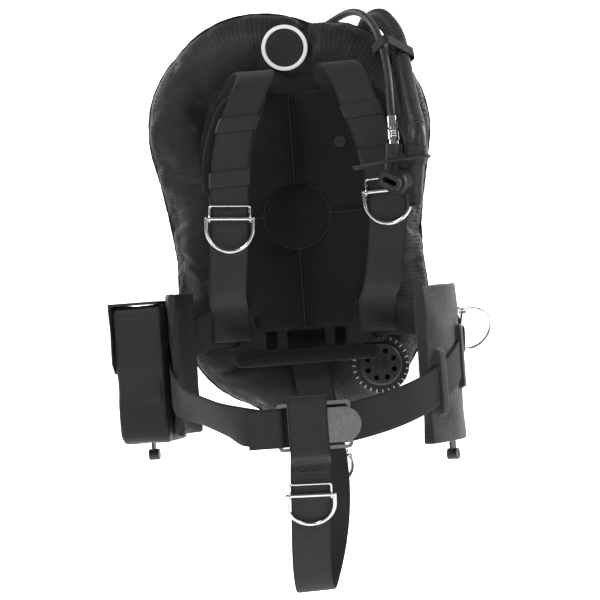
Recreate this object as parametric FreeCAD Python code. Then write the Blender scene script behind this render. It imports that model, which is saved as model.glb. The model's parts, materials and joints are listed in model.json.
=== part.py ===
import FreeCAD
import Part
import math
import os
from FreeCAD import Vector as V

# Scuba buoyancy pack: a steel backplate with a donut-shaped air wing behind it, a padded webbing
# harness in front of it, a power inflator, an overpressure valve, two pockets and two tank bands.
#
# Millimetres. The origin is midway between the two tank-bolt holes, on the plate's rear face.
# +X is the wearer's left, +Y points from the wearer towards the tank, +Z is up.

# ---------------------------------------------------------------- webbing and wire
WEBBING_WIDTH = 50.8
WEBBING_THICK = 2.6
SEAT_GAP = 0.3              # between pieces that lie on each other
SLOT_SPARE = 0.6            # round a strap, on each side, where it passes through a slot
RING_WIRE_R = 2.4
SLIDE_WIRE_R = 1.3
RING_DEPTH = 44.0           # from the ring's bar to its lowest point
SLIDE_HEIGHT = 17.0         # from the slide's top bar to the ring's bar

# ---------------------------------------------------------------- backplate
PLATE_HEIGHT = 364.0
PLATE_WIDTH = 250.0
PLATE_TOP_WIDTH = 206.0
PLATE_SHOULDER_DROP = 70.0  # how far below the top edge the full width is reached
PLATE_CORNER_R = 18.0
PLATE_THICK = 3.0
CHANNEL_FLOOR_HALF = 40.0
CHANNEL_TOP_HALF = 56.0
CHANNEL_DEPTH = 22.0
FLANGE_FRONT = -CHANNEL_DEPTH - PLATE_THICK
BOLT_SPACING = 279.4
BOLT_HOLE_R = 4.8
LOWER_SLOT_X = 100.0
LOWER_SLOT_Z = -148.0
UPPER_SLOT_X = 82.0
UPPER_SLOT_Z = 143.0
UPPER_SLOT_TILT = 8.0
CROTCH_SLOT_Z = -165.0
CROTCH_SLOT_HEIGHT = 15.0
LIGHTENING_HOLE_R = 14.0

# ---------------------------------------------------------------- wing
WING_CORNERS = [(-30.0, 119.0, 170.0), (26.0, 110.0, 171.0), (0.0, -112.0, 178.0)]   # x, z and radius, clockwise
TUBE_HALF_WIDTH = 50.0
TUBE_HALF_DEPTH = 45.0
TUBE_CENTRE_Y = 35.0
PANEL_FRONT_Y = 3.2
PANEL_THICK = 3.0
GROMMET_HOLE_R = 6.0
GROMMET_R = 10.0
BADGE_R = 32.0
BADGE_THICK = 2.4
BADGE_Z = 233.0

# ---------------------------------------------------------------- dump valve
VALVE_X = 100.0
VALVE_Z = -213.0
VALVE_FLANGE_R = 40.0
VALVE_CAP_R = 29.0
VALVE_SEAT_R = 22.0
VALVE_HOLES = 8
VALVE_TRAVEL = 4.0

# ---------------------------------------------------------------- tank bands
TANK_R = 92.0
BAND_WIDTH = 50.0
BAND_THICK = 2.5
BAND_Z = (74.0, -74.0)
BAND_SLOT_X = 32.0
BUCKLE_TURN = 62.0          # round the tank from straight behind, towards the wearer's right

# ---------------------------------------------------------------- pads
PAD_HALF_WIDTH = 121.0
PAD_TOP = 171.0
PAD_BOTTOM = -157.0
PAD_BASE_THICK = 7.0
PAD_RAISE = 8.0
PAD_CORNER_R = 30.0
CHANNEL_GROOVE = 7.0        # width of the sewn channels between the raised cells
EMBLEM_R = 42.0
LUMBAR_HALF_LENGTH = 100.0
LUMBAR_HEIGHT = 21.0
LUMBAR_THICK = 15.0
SHOULDER_PAD_WIDTH = 63.0
SHOULDER_PAD_THICK = 9.0
KEEPER_LENGTH = 22.0
KEEPER_WALL = 2.0

# ---------------------------------------------------------------- belt
BELT_FRONT_Y = -288.0
BELT_FRONT_Z = -279.0
BELT_LEFT_END = -70.0       # the free end of the left strap, behind the right one
BELT_STEPS = 48
BUCKLE_LEFT = -46.0
BUCKLE_RIGHT = 50.0
BUCKLE_HALF_HEIGHT = 31.0
BUCKLE_THICK = 2.0
BUCKLE_BAR = 5.0
BUCKLE_PIN_X = -12.0
BUCKLE_PIN_R = 1.8
LEVER_RIGHT = 62.0
LEVER_HALF_HEIGHT = 22.5
LEVER_ROOM = 4.3            # between the shut lever and the crotch strap's loop
CROTCH_X = -6.0

# ---------------------------------------------------------------- hoses
HOSE_R = 13.5
HOSE_ELBOW_X = 112.0
HOSE_ELBOW_Z = 196.0
LP_HOSE_R = 5.2
LP_FERRULE_R = 6.8

# ---------------------------------------------------------------- pockets
POCKET_HEIGHT = 190.0
POCKET_HALF_WIDTH = 60.0
POCKET_PANEL_THICK = 5.0
POCKET_WALL = 3.0
POCKET_RIGHT_DEPTH = 66.0
POCKET_LEFT_DEPTH = 16.0


# ================================================================ general helpers
def block(x0, x1, y0, y1, z0, z1):
    return Part.makeBox(x1 - x0, y1 - y0, z1 - z0, V(x0, y0, z0))


def tube_y(x, y0, y1, z, r):
    """A round bar along Y."""
    return Part.makeCylinder(r, y1 - y0, V(x, y0, z), V(0, 1, 0))


def fuse(shapes):
    first, *rest = shapes
    return (first.multiFuse(rest) if rest else first).removeSplitter()


def rounded_path(points, radius=None, closed=False, share=0.45):
    """Straight runs joined by tangent arcs. With no radius each arc is as large as its runs allow."""
    pts = [V(*p) for p in points]
    n = len(pts)
    corners = range(n) if closed else range(1, n - 1)
    cut = {}
    for i in corners:
        a, b, c = pts[i - 1], pts[i], pts[(i + 1) % n]
        into, out = (b - a), (c - b)
        short = min(into.Length, out.Length)
        into.normalize()
        out.normalize()
        turn = into.getAngle(out)
        if turn < 1e-6:
            continue
        reach = share * short
        if radius is not None:
            reach = min(reach, radius * math.tan(turn / 2))
        start, end = b - into * reach, b + out * reach
        r = reach / math.tan(turn / 2)
        inward = (out - into).normalize()
        middle = b + inward * (r / math.cos(turn / 2) - r)
        cut[i] = (start, middle, end, r)
    edges = []
    for i in range(n if closed else n - 1):
        j = (i + 1) % n
        start = cut[i][2] if i in cut else pts[i]
        end = cut[j][0] if j in cut else pts[j]
        if (end - start).Length > 1e-4:
            edges.append(Part.LineSegment(start, end).toShape())
        if j in cut and (closed or j < n - 1):
            edges.append(Part.Arc(cut[j][0], cut[j][1], cut[j][2]).toShape())
    wire = Part.Wire(edges)
    wire_radii = [round(c[3], 1) for c in cut.values()]
    return wire, wire_radii


def rod(wire, r):
    """A round bar along a wire."""
    edge = wire.Edges[0]
    start = edge.valueAt(edge.FirstParameter)
    along = edge.tangentAt(edge.FirstParameter)
    profile = Part.Wire(Part.makeCircle(r, start, along))
    solid = wire.makePipeShell([profile], True, False)
    return solid if solid.Volume > 0 else solid.reversed()


def slab(points, radius, axis, low, high):
    """A flat plate with rounded corners, cut square to an axis: "x", "y" or "z"."""
    place = {"x": lambda a, b: (low, a, b), "y": lambda a, b: (a, low, b), "z": lambda a, b: (a, b, low)}
    lift = {"x": V(high - low, 0, 0), "y": V(0, high - low, 0), "z": V(0, 0, high - low)}
    wire, _ = rounded_path([place[axis](a, b) for a, b in points], radius, closed=True)
    return Part.Face(wire).extrude(lift[axis])


def rectangle(x0, x1, z0, z1):
    return [(x0, z0), (x1, z0), (x1, z1), (x0, z1)]


def soften(shape, r, choose=lambda e: True):
    """Fillets the chosen edges, one at a time where all at once fail."""
    edges = [e for e in shape.Edges if choose(e)]
    try:
        done = shape.makeFillet(r, edges)
        if done.isValid():
            return done
    except Part.OCCError:
        pass
    return shape


def seat(shape, origin, across, along):
    """Moves a piece made at the origin, with +X across a strap, -Z along it and -Y off its face."""
    x = V(across).normalize()
    z = (V(along) * -1).normalize()
    y = z.cross(x)
    matrix = FreeCAD.Matrix(x.x, y.x, z.x, origin.x, x.y, y.y, z.y, origin.y, x.z, y.z, z.z, origin.z, 0, 0, 0, 1)
    moved = shape.copy()
    moved.Placement = FreeCAD.Placement(matrix).multiply(moved.Placement)
    return moved


# ================================================================ straps
class Strap:
    """A webbing route: a smooth centreline and, along it, the direction of the webbing's width."""

    def __init__(self, points, width_along, rolls=((0, 0), (1, 0)), steps=34):
        self.steps = steps
        self.curve = Part.BSplineCurve()
        self.curve.interpolate([V(*p) for p in points])
        self.length = self.curve.length()
        self.width_along = V(*width_along)
        self.rolls = rolls

    def roll(self, share):
        for (s0, a0), (s1, a1) in zip(self.rolls, self.rolls[1:]):
            if share <= s1:
                t = (share - s0) / (s1 - s0)
                return a0 + (a1 - a0) * t * t * (3 - 2 * t)
        return self.rolls[-1][1]

    def frame(self, share):
        """Point, direction along, direction across and the outward normal at a share of the length."""
        at = self.curve.parameterAtDistance(self.length * share, self.curve.FirstParameter)
        point = self.curve.value(at)
        along = V(*self.curve.tangent(at)[0]).normalize()
        across = (self.width_along - along * self.width_along.dot(along)).normalize()
        turned = FreeCAD.Rotation(along, self.roll(share)).multVec(across)
        return point, along, turned, along.cross(turned).normalize()

    def band(self, width, thick, offset=0.0, start=0.0, end=1.0, steps=14, taper=None, shift=0.0):
        """A lofted strip. offset moves its middle off the webbing's own middle, along the normal,
        and shift moves it sideways, along the webbing's width."""
        sections = []
        for i in range(steps + 1):
            t = i / steps
            point, along, across, normal = self.frame(start + (end - start) * t)
            half = width / 2 * (taper(t) if taper else 1.0)
            low, high = offset - thick / 2, offset + thick / 2
            point = point + across * shift
            corners = [
                point + across * half + normal * low,
                point + across * half + normal * high,
                point - across * half + normal * high,
                point - across * half + normal * low,
            ]
            sections.append(Part.makePolygon(corners + corners[:1]))
        solid = Part.makeLoft(sections, True, False)
        return solid if solid.Volume > 0 else solid.reversed()

    def webbing(self):
        return self.band(WEBBING_WIDTH, WEBBING_THICK, steps=self.steps)

    def room(self, beside=1.0, around=0.6, reach=None):
        """The space the strap needs in what lies round it, along its whole length or its first stretch."""
        count = min(self.steps, math.ceil((reach or self.length) / self.length * self.steps))
        width, thick = WEBBING_WIDTH + 2 * beside, WEBBING_THICK + 2 * around
        return self.band(width, thick, 0, 0, count / self.steps, count)

    def share_nearest(self, z, start=0.0, end=1.0):
        """The share of the length where the strap passes height z, between two shares."""
        low, high = start, end
        rising = self.frame(end)[0].z > self.frame(start)[0].z
        for _ in range(40):
            mid = (low + high) / 2
            below = self.frame(mid)[0].z < z
            if below == rising:
                low = mid
            else:
                high = mid
        return (low + high) / 2


def sleeve(strap, start, end, width, thick, offset, wall, steps=4):
    """A loop of webbing round a strap."""
    outer = strap.band(width + 2 * wall, thick + 2 * wall, offset, start, end, steps)
    inner = strap.band(width, thick, offset, start - 0.01, end + 0.01, steps)
    return outer.cut(inner)


# ================================================================ ring hardware
def ring_off_face():
    """How far in front of a strap's middle the ring's bar runs."""
    return WEBBING_THICK / 2 + SEAT_GAP + RING_WIRE_R


def make_slide(lift):
    """A wire slide in the plane of a strap: a bar in front, one behind, and two eyes for the ring's bar.
    Made with the ring's bar on the X axis, the strap's face towards -Y and the top bar above."""
    top = SLIDE_HEIGHT
    half = WEBBING_WIDTH / 2 + SEAT_GAP + SLIDE_WIRE_R
    behind = ring_off_face() + 2 * lift + WEBBING_THICK / 2 + SEAT_GAP + SLIDE_WIRE_R
    eye_r = RING_WIRE_R + 0.4 + SLIDE_WIRE_R
    front_wire, _ = rounded_path([(-half, 0, eye_r - 0.6), (-half, 0, top), (half, 0, top), (half, 0, eye_r - 0.6)], 4.0)
    back_wire, _ = rounded_path(
        [(-half, 0, top * 0.55), (-half, behind, top * 0.55), (half, behind, top * 0.55), (half, 0, top * 0.55)], 2.6
    )
    eyes = [Part.makeTorus(eye_r, SLIDE_WIRE_R, V(s * half, 0, 0), V(1, 0, 0)) for s in (-1, 1)]
    return fuse([rod(front_wire, SLIDE_WIRE_R), rod(back_wire, SLIDE_WIRE_R), *eyes])


def make_ring():
    """The D-ring that hangs in a slide's eyes, its bar on the X axis."""
    half = WEBBING_WIDTH / 2 + 2 * SEAT_GAP + 2 * SLIDE_WIRE_R + RING_WIRE_R
    straight = RING_DEPTH - half
    bow = Part.Wire([
        Part.LineSegment(V(-half, 0, 0), V(-half, 0, -straight)).toShape(),
        Part.Arc(V(-half, 0, -straight), V(0, 0, -RING_DEPTH), V(half, 0, -straight)).toShape(),
        Part.LineSegment(V(half, 0, -straight), V(half, 0, 0)).toShape(),
    ])
    bar = Part.makeCylinder(RING_WIRE_R, 2 * half, V(-half, 0, 0), V(1, 0, 0))
    ends = [Part.makeSphere(RING_WIRE_R, V(s * half, 0, 0)) for s in (-1, 1)]
    return fuse([rod(bow, RING_WIRE_R), bar, *ends])


def ring_set(strap, share, swing=0.0, flip=1, lift=0.0):
    """A slide and its ring on a strap, the ring swung outwards from the strap by an angle.
    flip is -1 where the strap runs upwards, and lift clears a strap that curves there."""
    point, along, across, normal = strap.frame(share)
    along, across = along * flip, across * flip
    origin = point + normal * (ring_off_face() + lift)
    ring = make_ring()
    ring.rotate(V(0, 0, 0), V(1, 0, 0), -swing)
    print("ring bar", [round(c, 2) for c in origin], "swings about", [round(-c, 4) for c in across])
    return seat(make_slide(lift), origin, across, along), seat(ring, origin, across, along)


# ================================================================ backplate
def plate_outline():
    top, low = PLATE_HEIGHT / 2, -PLATE_HEIGHT / 2
    wide, narrow = PLATE_WIDTH / 2, PLATE_TOP_WIDTH / 2
    shoulder = top - PLATE_SHOULDER_DROP
    right = [(wide - 12, low), (wide, low + 40), (wide, shoulder), (narrow, top)]
    return right + [(-x, z) for x, z in reversed(right)]


def make_backplate(straps):
    edge = PLATE_WIDTH / 2 + 10
    front = [
        (-edge, FLANGE_FRONT),
        (-CHANNEL_TOP_HALF, FLANGE_FRONT),
        (-CHANNEL_FLOOR_HALF, -PLATE_THICK),
        (CHANNEL_FLOOR_HALF, -PLATE_THICK),
        (CHANNEL_TOP_HALF, FLANGE_FRONT),
        (edge, FLANGE_FRONT),
    ]
    low = -PLATE_HEIGHT / 2
    wire, _ = rounded_path([(x, y, low) for x, y in front], 6.0)
    rear = wire.copy()
    rear.translate(V(0, PLATE_THICK, 0))
    a, b = wire.OrderedVertexes, rear.OrderedVertexes
    sides = [Part.LineSegment(a[k].Point, b[k].Point).toShape() for k in (0, -1)]
    profile = Part.Face(Part.Wire(Part.__sortEdges__(wire.Edges + rear.Edges + sides)))
    bent = profile.extrude(V(0, 0, PLATE_HEIGHT))
    plate = bent.common(slab(plate_outline(), PLATE_CORNER_R, "y", -60, 20))
    cuts = [tube_y(0, -10, 10, s * BOLT_SPACING / 2, BOLT_HOLE_R) for s in (-1, 1)]
    for s in (-1, 1):
        cuts.append(lower_slot(s))
        cuts.append(upper_slot(s))
        cuts.append(tube_y(s * 92, -60, 20, 30, LIGHTENING_HOLE_R))
        cuts.append(tube_y(s * 92, -60, 20, -50, LIGHTENING_HOLE_R))
        for z in BAND_Z:
            cuts.append(band_slot(s, z, SLOT_SPARE))
    half = WEBBING_WIDTH / 2 + SLOT_SPARE
    low, high = CROTCH_SLOT_Z - CROTCH_SLOT_HEIGHT / 2, CROTCH_SLOT_Z + CROTCH_SLOT_HEIGHT / 2
    cuts.append(slab(rectangle(-half, half, low, high), 3, "y", -20, 20))
    cuts += [tube_y(s * PAD_SCREW_X, -60, 20, PAD_SCREW_Z, 3.4) for s in (-1, 1)]
    cuts += [strap.room(reach=90) for strap in straps]
    opened = plate.cut(cuts).removeSplitter()
    return opened.cut([strap.webbing() for strap in straps])


def slot_cutter(half_long, half_short):
    return slab(rectangle(-half_short, half_short, -half_long, half_long), half_short - 0.01, "y", -60, 20)


def lower_slot(side):
    cutter = slot_cutter(WEBBING_WIDTH / 2 + 2, 9.0)
    cutter.translate(V(side * LOWER_SLOT_X, 0, LOWER_SLOT_Z))
    return cutter


def upper_slot(side):
    cutter = slot_cutter(WEBBING_WIDTH / 2 + 2, 6.5)
    cutter.rotate(V(0, 0, 0), V(0, 1, 0), 90 - side * UPPER_SLOT_TILT)
    cutter.translate(V(side * UPPER_SLOT_X, 0, UPPER_SLOT_Z))
    return cutter


def band_slot(side, z, spare):
    half = BAND_WIDTH / 2 + spare
    outer = BAND_SLOT_X + BAND_THICK / 2 + spare
    inner = BAND_SLOT_X - BAND_THICK / 2 - spare - 3.2
    x0, x1 = sorted((side * inner, side * outer))
    return block(x0, x1, -12, 20, z - half, z + half)


# ================================================================ wing
def wing_ring(inset, y):
    """The closed line round the wing's three corner circles, an inset in from its rim."""
    circles = [(x, z, r - inset) for x, z, r in WING_CORNERS]
    nexts = circles[1:] + circles[:1]
    outs = []
    for (x0, z0, r0), (x1, z1, r1) in zip(circles, nexts):
        turn = math.acos((r0 - r1) / math.hypot(x1 - x0, z1 - z0))
        outs.append(math.atan2(z1 - z0, x1 - x0) + turn)

    def at(circle, angle):
        x, z, r = circle
        return V(x + r * math.cos(angle), y, z + r * math.sin(angle))

    edges = []
    for circle, following, before, out in zip(circles, nexts, outs[-1:] + outs[:-1], outs):
        middle = before - (before - out) % (2 * math.pi) / 2
        edges.append(Part.Arc(at(circle, before), at(circle, middle), at(circle, out)).toShape())
        edges.append(Part.LineSegment(at(circle, out), at(following, out)).toShape())
    return Part.Wire(edges)


def make_wing():
    """The inflated tube, an oval section swept round the wing, with a seat for the dump valve."""
    path = wing_ring(TUBE_HALF_WIDTH, TUBE_CENTRE_Y)
    start = path.Edges[0].valueAt(path.Edges[0].FirstParameter)
    along = path.Edges[0].tangentAt(path.Edges[0].FirstParameter)
    across = along.cross(V(0, 1, 0)).normalize()
    oval = Part.Ellipse(start + across * TUBE_HALF_WIDTH, start + V(0, TUBE_HALF_DEPTH, 0), start)
    section = Part.Wire(oval.toShape())
    tube = path.makePipeShell([section], True, False)
    if tube.Volume < 0:
        tube = tube.reversed()
    seats = [
        tube_y(VALVE_X, -60, valve_face() + 16, VALVE_Z, VALVE_CAP_R + SEAT_GAP),
        tube_y(HOSE_ELBOW_X, elbow_face() - 4, 120, HOSE_ELBOW_Z, HOSE_R + 7 + SEAT_GAP),
        tube_y(0, -60, badge_face(), BADGE_Z, BADGE_R + 1),
    ]
    return tube.cut(fuse(seats))


def tube_front(x, z):
    """How far forward and back the tube reaches at a point of the front view: the front and rear Y."""
    off = Part.Vertex(x, 0, z).distToShape(wing_ring(TUBE_HALF_WIDTH, 0))[0]
    depth = TUBE_HALF_DEPTH * math.sqrt(max(0.0, 1 - (off / TUBE_HALF_WIDTH) ** 2))
    return TUBE_CENTRE_Y - depth, TUBE_CENTRE_Y + depth


def valve_face():
    """The flange's rear face, just in front of the tube's foremost line."""
    return TUBE_CENTRE_Y - TUBE_HALF_DEPTH - SEAT_GAP


def elbow_face():
    return tube_front(HOSE_ELBOW_X, HOSE_ELBOW_Z)[1]


def badge_face():
    return tube_front(0, BADGE_Z)[0] + 3.0


def make_wing_panel(wing):
    """The flat middle of the wing, between plate and tank, with grommet holes and band slots."""
    ring = wing_ring(TUBE_HALF_WIDTH * 1.45, PANEL_FRONT_Y)
    sheet = Part.Face(ring).extrude(V(0, PANEL_THICK, 0))
    cuts = [tube_y(0, -5, 20, s * BOLT_SPACING / 2, GROMMET_HOLE_R + 1.2) for s in (-1, 1)]
    cuts += [band_slot(s, z, SLOT_SPARE + 0.4) for s in (-1, 1) for z in BAND_Z]
    return sheet.cut(fuse(cuts)).cut(wing)


def make_grommets():
    rings = []
    for s in (-1, 1):
        z = s * BOLT_SPACING / 2
        barrel = tube_y(0, 0, PANEL_FRONT_Y + PANEL_THICK + 0.8, z, GROMMET_HOLE_R + 1.2)
        rear = tube_y(0, PANEL_FRONT_Y + PANEL_THICK, PANEL_FRONT_Y + PANEL_THICK + 1.0, z, GROMMET_R)
        front = tube_y(0, 0, PANEL_FRONT_Y, z, GROMMET_R)
        hole = tube_y(0, -5, 20, z, GROMMET_HOLE_R)
        rings.append(fuse([barrel, rear, front]).cut(hole))
    return Part.makeCompound(rings)


def make_badge():
    """A bare round patch with a raised rim."""
    rear = badge_face()
    disc = tube_y(0, rear - BADGE_THICK, rear, BADGE_Z, BADGE_R)
    rim = tube_y(0, rear - BADGE_THICK - 0.8, rear - BADGE_THICK, BADGE_Z, BADGE_R)
    rim = rim.cut(tube_y(0, rear - 20, rear, BADGE_Z, BADGE_R - 1.8))
    return fuse([disc, rim])


# ================================================================ dump valve
def make_valve():
    """Flange, cap with a ring of holes, spring-loaded poppet and its spring."""
    face = valve_face()
    flange_front = face - 3.2
    flange = tube_y(VALVE_X, flange_front, face, VALVE_Z, VALVE_FLANGE_R)
    body = tube_y(VALVE_X, face, face + 15, VALVE_Z, VALVE_CAP_R)
    throat = tube_y(VALVE_X, flange_front - 1, face + 16, VALVE_Z, VALVE_SEAT_R - 4)
    recess = tube_y(VALVE_X, flange_front - 1, face + 4, VALVE_Z, VALVE_SEAT_R + 1)
    base = fuse([flange, body]).cut(fuse([throat, recess]))
    base = soften(base, 1.2, lambda e: on_circle(e, flange_front, VALVE_FLANGE_R))

    cap_front = flange_front - 11
    cap = tube_y(VALVE_X, cap_front, flange_front, VALVE_Z, VALVE_CAP_R)
    cap = soften(cap, 3.5, lambda e: on_circle(e, cap_front, VALVE_CAP_R))
    cap = cap.cut(tube_y(VALVE_X, cap_front + 2.4, flange_front + 1, VALVE_Z, VALVE_CAP_R - 2.6))
    holes = []
    for k in range(VALVE_HOLES):
        turn = 2 * math.pi * (k + 0.5) / VALVE_HOLES
        x, z = VALVE_X + 19.5 * math.cos(turn), VALVE_Z + 19.5 * math.sin(turn)
        holes.append(tube_y(x, cap_front - 2, cap_front + 6, z, 3.6))
    ribs = []
    for k in range(4):
        rib = block(-VALVE_CAP_R + 5, VALVE_CAP_R - 5, 0, 0.9, -0.9, 0.9)
        rib.rotate(V(0, 0, 0), V(0, 1, 0), 45 * k)
        rib.translate(V(VALVE_X, cap_front - 0.8, VALVE_Z))
        ribs.append(rib)
    guide = tube_y(VALVE_X, cap_front + 1, cap_front + 5, VALVE_Z, 5.4)
    cap = fuse([cap.cut(fuse(holes)), *ribs, guide])
    cap = cap.cut(tube_y(VALVE_X, cap_front + 1.5, cap_front + 30, VALVE_Z, 3.4))

    disc = tube_y(VALVE_X, face + 4 - 2.4, face + 4, VALVE_Z, VALVE_SEAT_R)
    stem = tube_y(VALVE_X, cap_front + 1.8 + VALVE_TRAVEL, face + 4, VALVE_Z, 3.0)
    poppet = fuse([disc, stem])

    length = face + 4 - 2.4 - SEAT_GAP - (cap_front + 2.4 + SEAT_GAP)
    helix = Part.makeHelix((length - 1.6) / 4, length - 1.6, 7.6)
    wire = Part.Wire(helix.Edges)
    start = wire.Edges[0].valueAt(wire.Edges[0].FirstParameter)
    along = wire.Edges[0].tangentAt(wire.Edges[0].FirstParameter)
    spring = wire.makePipeShell([Part.Wire(Part.makeCircle(0.75, start, along))], True, True)
    spring.rotate(V(0, 0, 0), V(1, 0, 0), -90)
    spring.translate(V(VALVE_X, cap_front + 2.4 + SEAT_GAP + 0.8, VALVE_Z))
    return base, cap, poppet, spring


def on_circle(edge, y, r):
    """True for a full circle of that radius at that Y."""
    curve = edge.Curve
    return isinstance(curve, Part.Circle) and abs(curve.Radius - r) < 1e-6 and abs(curve.Center.y - y) < 1e-6


# ================================================================ tank bands
def flat_strap(points, radius, width, thick, closed=False):
    """Webbing whose width is parallel to an axis all the way: points lie in the plane across it."""
    wire, _ = rounded_path(points, radius, closed)
    edge = wire.Edges[0]
    start, along = edge.valueAt(edge.FirstParameter), edge.tangentAt(edge.FirstParameter)
    normal_of_plane = V(0, 0, 1) if points[0][2] == points[-1][2] == points[1][2] else V(1, 0, 0)
    across = normal_of_plane.cross(along).normalize()
    a, b = across * (thick / 2), normal_of_plane * (width / 2)
    corners = [start + a + b, start - a + b, start - a - b, start + a - b]
    profile = Part.makePolygon(corners + corners[:1])
    solid = wire.makePipeShell([profile], True, False)
    return solid if solid.Volume > 0 else solid.reversed()


TANK_Y = PANEL_FRONT_Y + PANEL_THICK + 0.5 + TANK_R


def make_band(z):
    """A closed band: in front of the channel floor, back through the slots and round the tank."""
    r = TANK_R + SEAT_GAP + BAND_THICK / 2
    front_y = -PLATE_THICK - SEAT_GAP - BAND_THICK / 2
    low_y = TANK_Y - math.sqrt(r * r - BAND_SLOT_X ** 2)
    corner = 4.0
    wire = Part.Wire([
        Part.LineSegment(V(-BAND_SLOT_X + corner, front_y, z), V(BAND_SLOT_X - corner, front_y, z)).toShape(),
        quarter(BAND_SLOT_X - corner, front_y + corner, corner, 270, 360, z),
        Part.LineSegment(V(BAND_SLOT_X, front_y + corner, z), V(BAND_SLOT_X, low_y, z)).toShape(),
        Part.Arc(V(BAND_SLOT_X, low_y, z), V(0, TANK_Y + r, z), V(-BAND_SLOT_X, low_y, z)).toShape(),
        Part.LineSegment(V(-BAND_SLOT_X, low_y, z), V(-BAND_SLOT_X, front_y + corner, z)).toShape(),
        quarter(-BAND_SLOT_X + corner, front_y + corner, corner, 180, 270, z),
    ])
    start = V(-BAND_SLOT_X + corner, front_y, z)
    a, b = V(0, BAND_THICK / 2, 0), V(0, 0, BAND_WIDTH / 2)
    corners = [start + a + b, start - a + b, start - a - b, start + a - b]
    band = wire.makePipeShell([Part.makePolygon(corners + corners[:1])], True, False, 1)
    return band if band.Volume > 0 else band.reversed()


def quarter(x, y, r, start, end, z):
    """An arc round (x, y) at height z, from one compass angle to another."""
    at = [math.radians(a) for a in (start, (start + end) / 2, end)]
    return Part.Arc(*[V(x + r * math.cos(a), y + r * math.sin(a), z) for a in at]).toShape()


def on_tank(shape, z):
    """Turns a piece made behind the tank (at x 0, facing +Y) round to where the cam buckles sit."""
    moved = shape.copy()
    moved.rotate(V(0, TANK_Y, z), V(0, 0, 1), BUCKLE_TURN)
    return moved


def make_cam_buckle(z):
    """The moulded cam buckle's frame: a curved base with two cheeks."""
    inner = TANK_R + SEAT_GAP + BAND_THICK + SEAT_GAP
    y0 = TANK_Y + inner
    ring = Part.makeCylinder(inner + 3, 62, V(0, TANK_Y, z - 31)).cut(
        Part.makeCylinder(inner, 62, V(0, TANK_Y, z - 31))
    )
    base = ring.common(block(-26, 26, TANK_Y, y0 + 5, z - 31, z + 31))
    cheeks = [
        slab([(y0 - 1, z0), (y0 + 15, z0), (y0 + 15, z0 + 4), (y0 - 1, z0 + 4)], 0.5, "x", 4, 24)
        for z0 in (z - 31, z + 27)
    ]
    pin = Part.makeCylinder(2.4, 58, V(14, y0 + 10, z - 29))
    return on_tank(fuse([base, *cheeks, pin]), z)


def make_cam_lever(z):
    """The over-centre lever, closed against the band; it turns on the buckle's pin."""
    y0 = TANK_Y + TANK_R + 2 * SEAT_GAP + BAND_THICK
    hub = Part.makeCylinder(6.2, 52, V(14, y0 + 10, z - 26))
    arm = slab([(14, y0 + 16), (14, y0 + 11), (-40, y0 + 1.5), (-44, y0 + 4.5)], 1.0, "z", z - 25, z + 25)
    lever = fuse([hub, arm])
    lever = lever.cut(Part.makeCylinder(2.7, 60, V(14, y0 + 10, z - 30)))
    lever = lever.cut(slab(rectangle(-32, -8, z - 13, z + 13), 5, "y", y0 - 5, y0 + 20))
    return on_tank(lever, z)


def cam_axis(z):
    y0 = TANK_Y + TANK_R + 2 * SEAT_GAP + BAND_THICK
    spot = V(14, y0 + 10 - TANK_Y, 0)
    turned = FreeCAD.Rotation(V(0, 0, 1), BUCKLE_TURN).multVec(spot)
    return V(turned.x, turned.y + TANK_Y, z)


# ================================================================ pads
PAD_REAR = FLANGE_FRONT - 2 * SEAT_GAP - WEBBING_THICK - 0.4


def make_back_pad(straps):
    """Four raised cells round a round emblem seat, with sewn channels between them."""
    half, low, top = PAD_HALF_WIDTH, PAD_BOTTOM, PAD_TOP
    notch_x, notch_z = 70, -116
    side = [(notch_x, low), (notch_x, notch_z), (half, notch_z + 8), (half, 96), (98, top)]
    outline = side + [(-x, z) for x, z in reversed(side)]
    base_front = PAD_REAR - PAD_BASE_THICK
    base = slab(outline, PAD_CORNER_R, "y", base_front, PAD_REAR)
    front = base_front - PAD_RAISE
    g = CHANNEL_GROOVE / 2
    spine = 15
    cells = []
    for s in (-1, 1):
        upper = [(s * (spine + g), 24), (s * (spine + g), top - 10), (s * 88, top - 10), (s * (half - 9), 90),
                 (s * (half - 9), 10 + g), (s * 62, 10 + g)]
        lower = [(s * (spine + g), -34), (s * 52, -6 - g), (s * (half - 9), -6 - g), (s * (half - 9), notch_z + 18),
                 (s * (notch_x - 7), notch_z + 6), (s * (notch_x - 7), low + 8), (s * (spine + g), low + 8)]
        cells.append(slab(upper, 16, "y", front, base_front))
        cells.append(slab(lower, 9, "y", front, base_front))
    disc = tube_y(0, front - 1, base_front, 0, EMBLEM_R + CHANNEL_GROOVE)
    raised = [soften(c.cut(disc), 3.0, lambda e: all(abs(v.Y - front) < 1e-6 for v in e.Vertexes)) for c in cells]
    emblem = tube_y(0, front + 2, base_front, 0, EMBLEM_R)
    emblem = soften(emblem, 2.0, lambda e: on_circle(e, front + 2, EMBLEM_R))
    pad = fuse([base, *raised, emblem])
    screws = [tube_y(s * PAD_SCREW_X, -80, 0, PAD_SCREW_Z, 4.6) for s in (-1, 1)]
    return pad.cut(screws + [strap.room() for strap in straps])


PAD_SCREW_X = 66.0
PAD_SCREW_Z = 96.0


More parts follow.
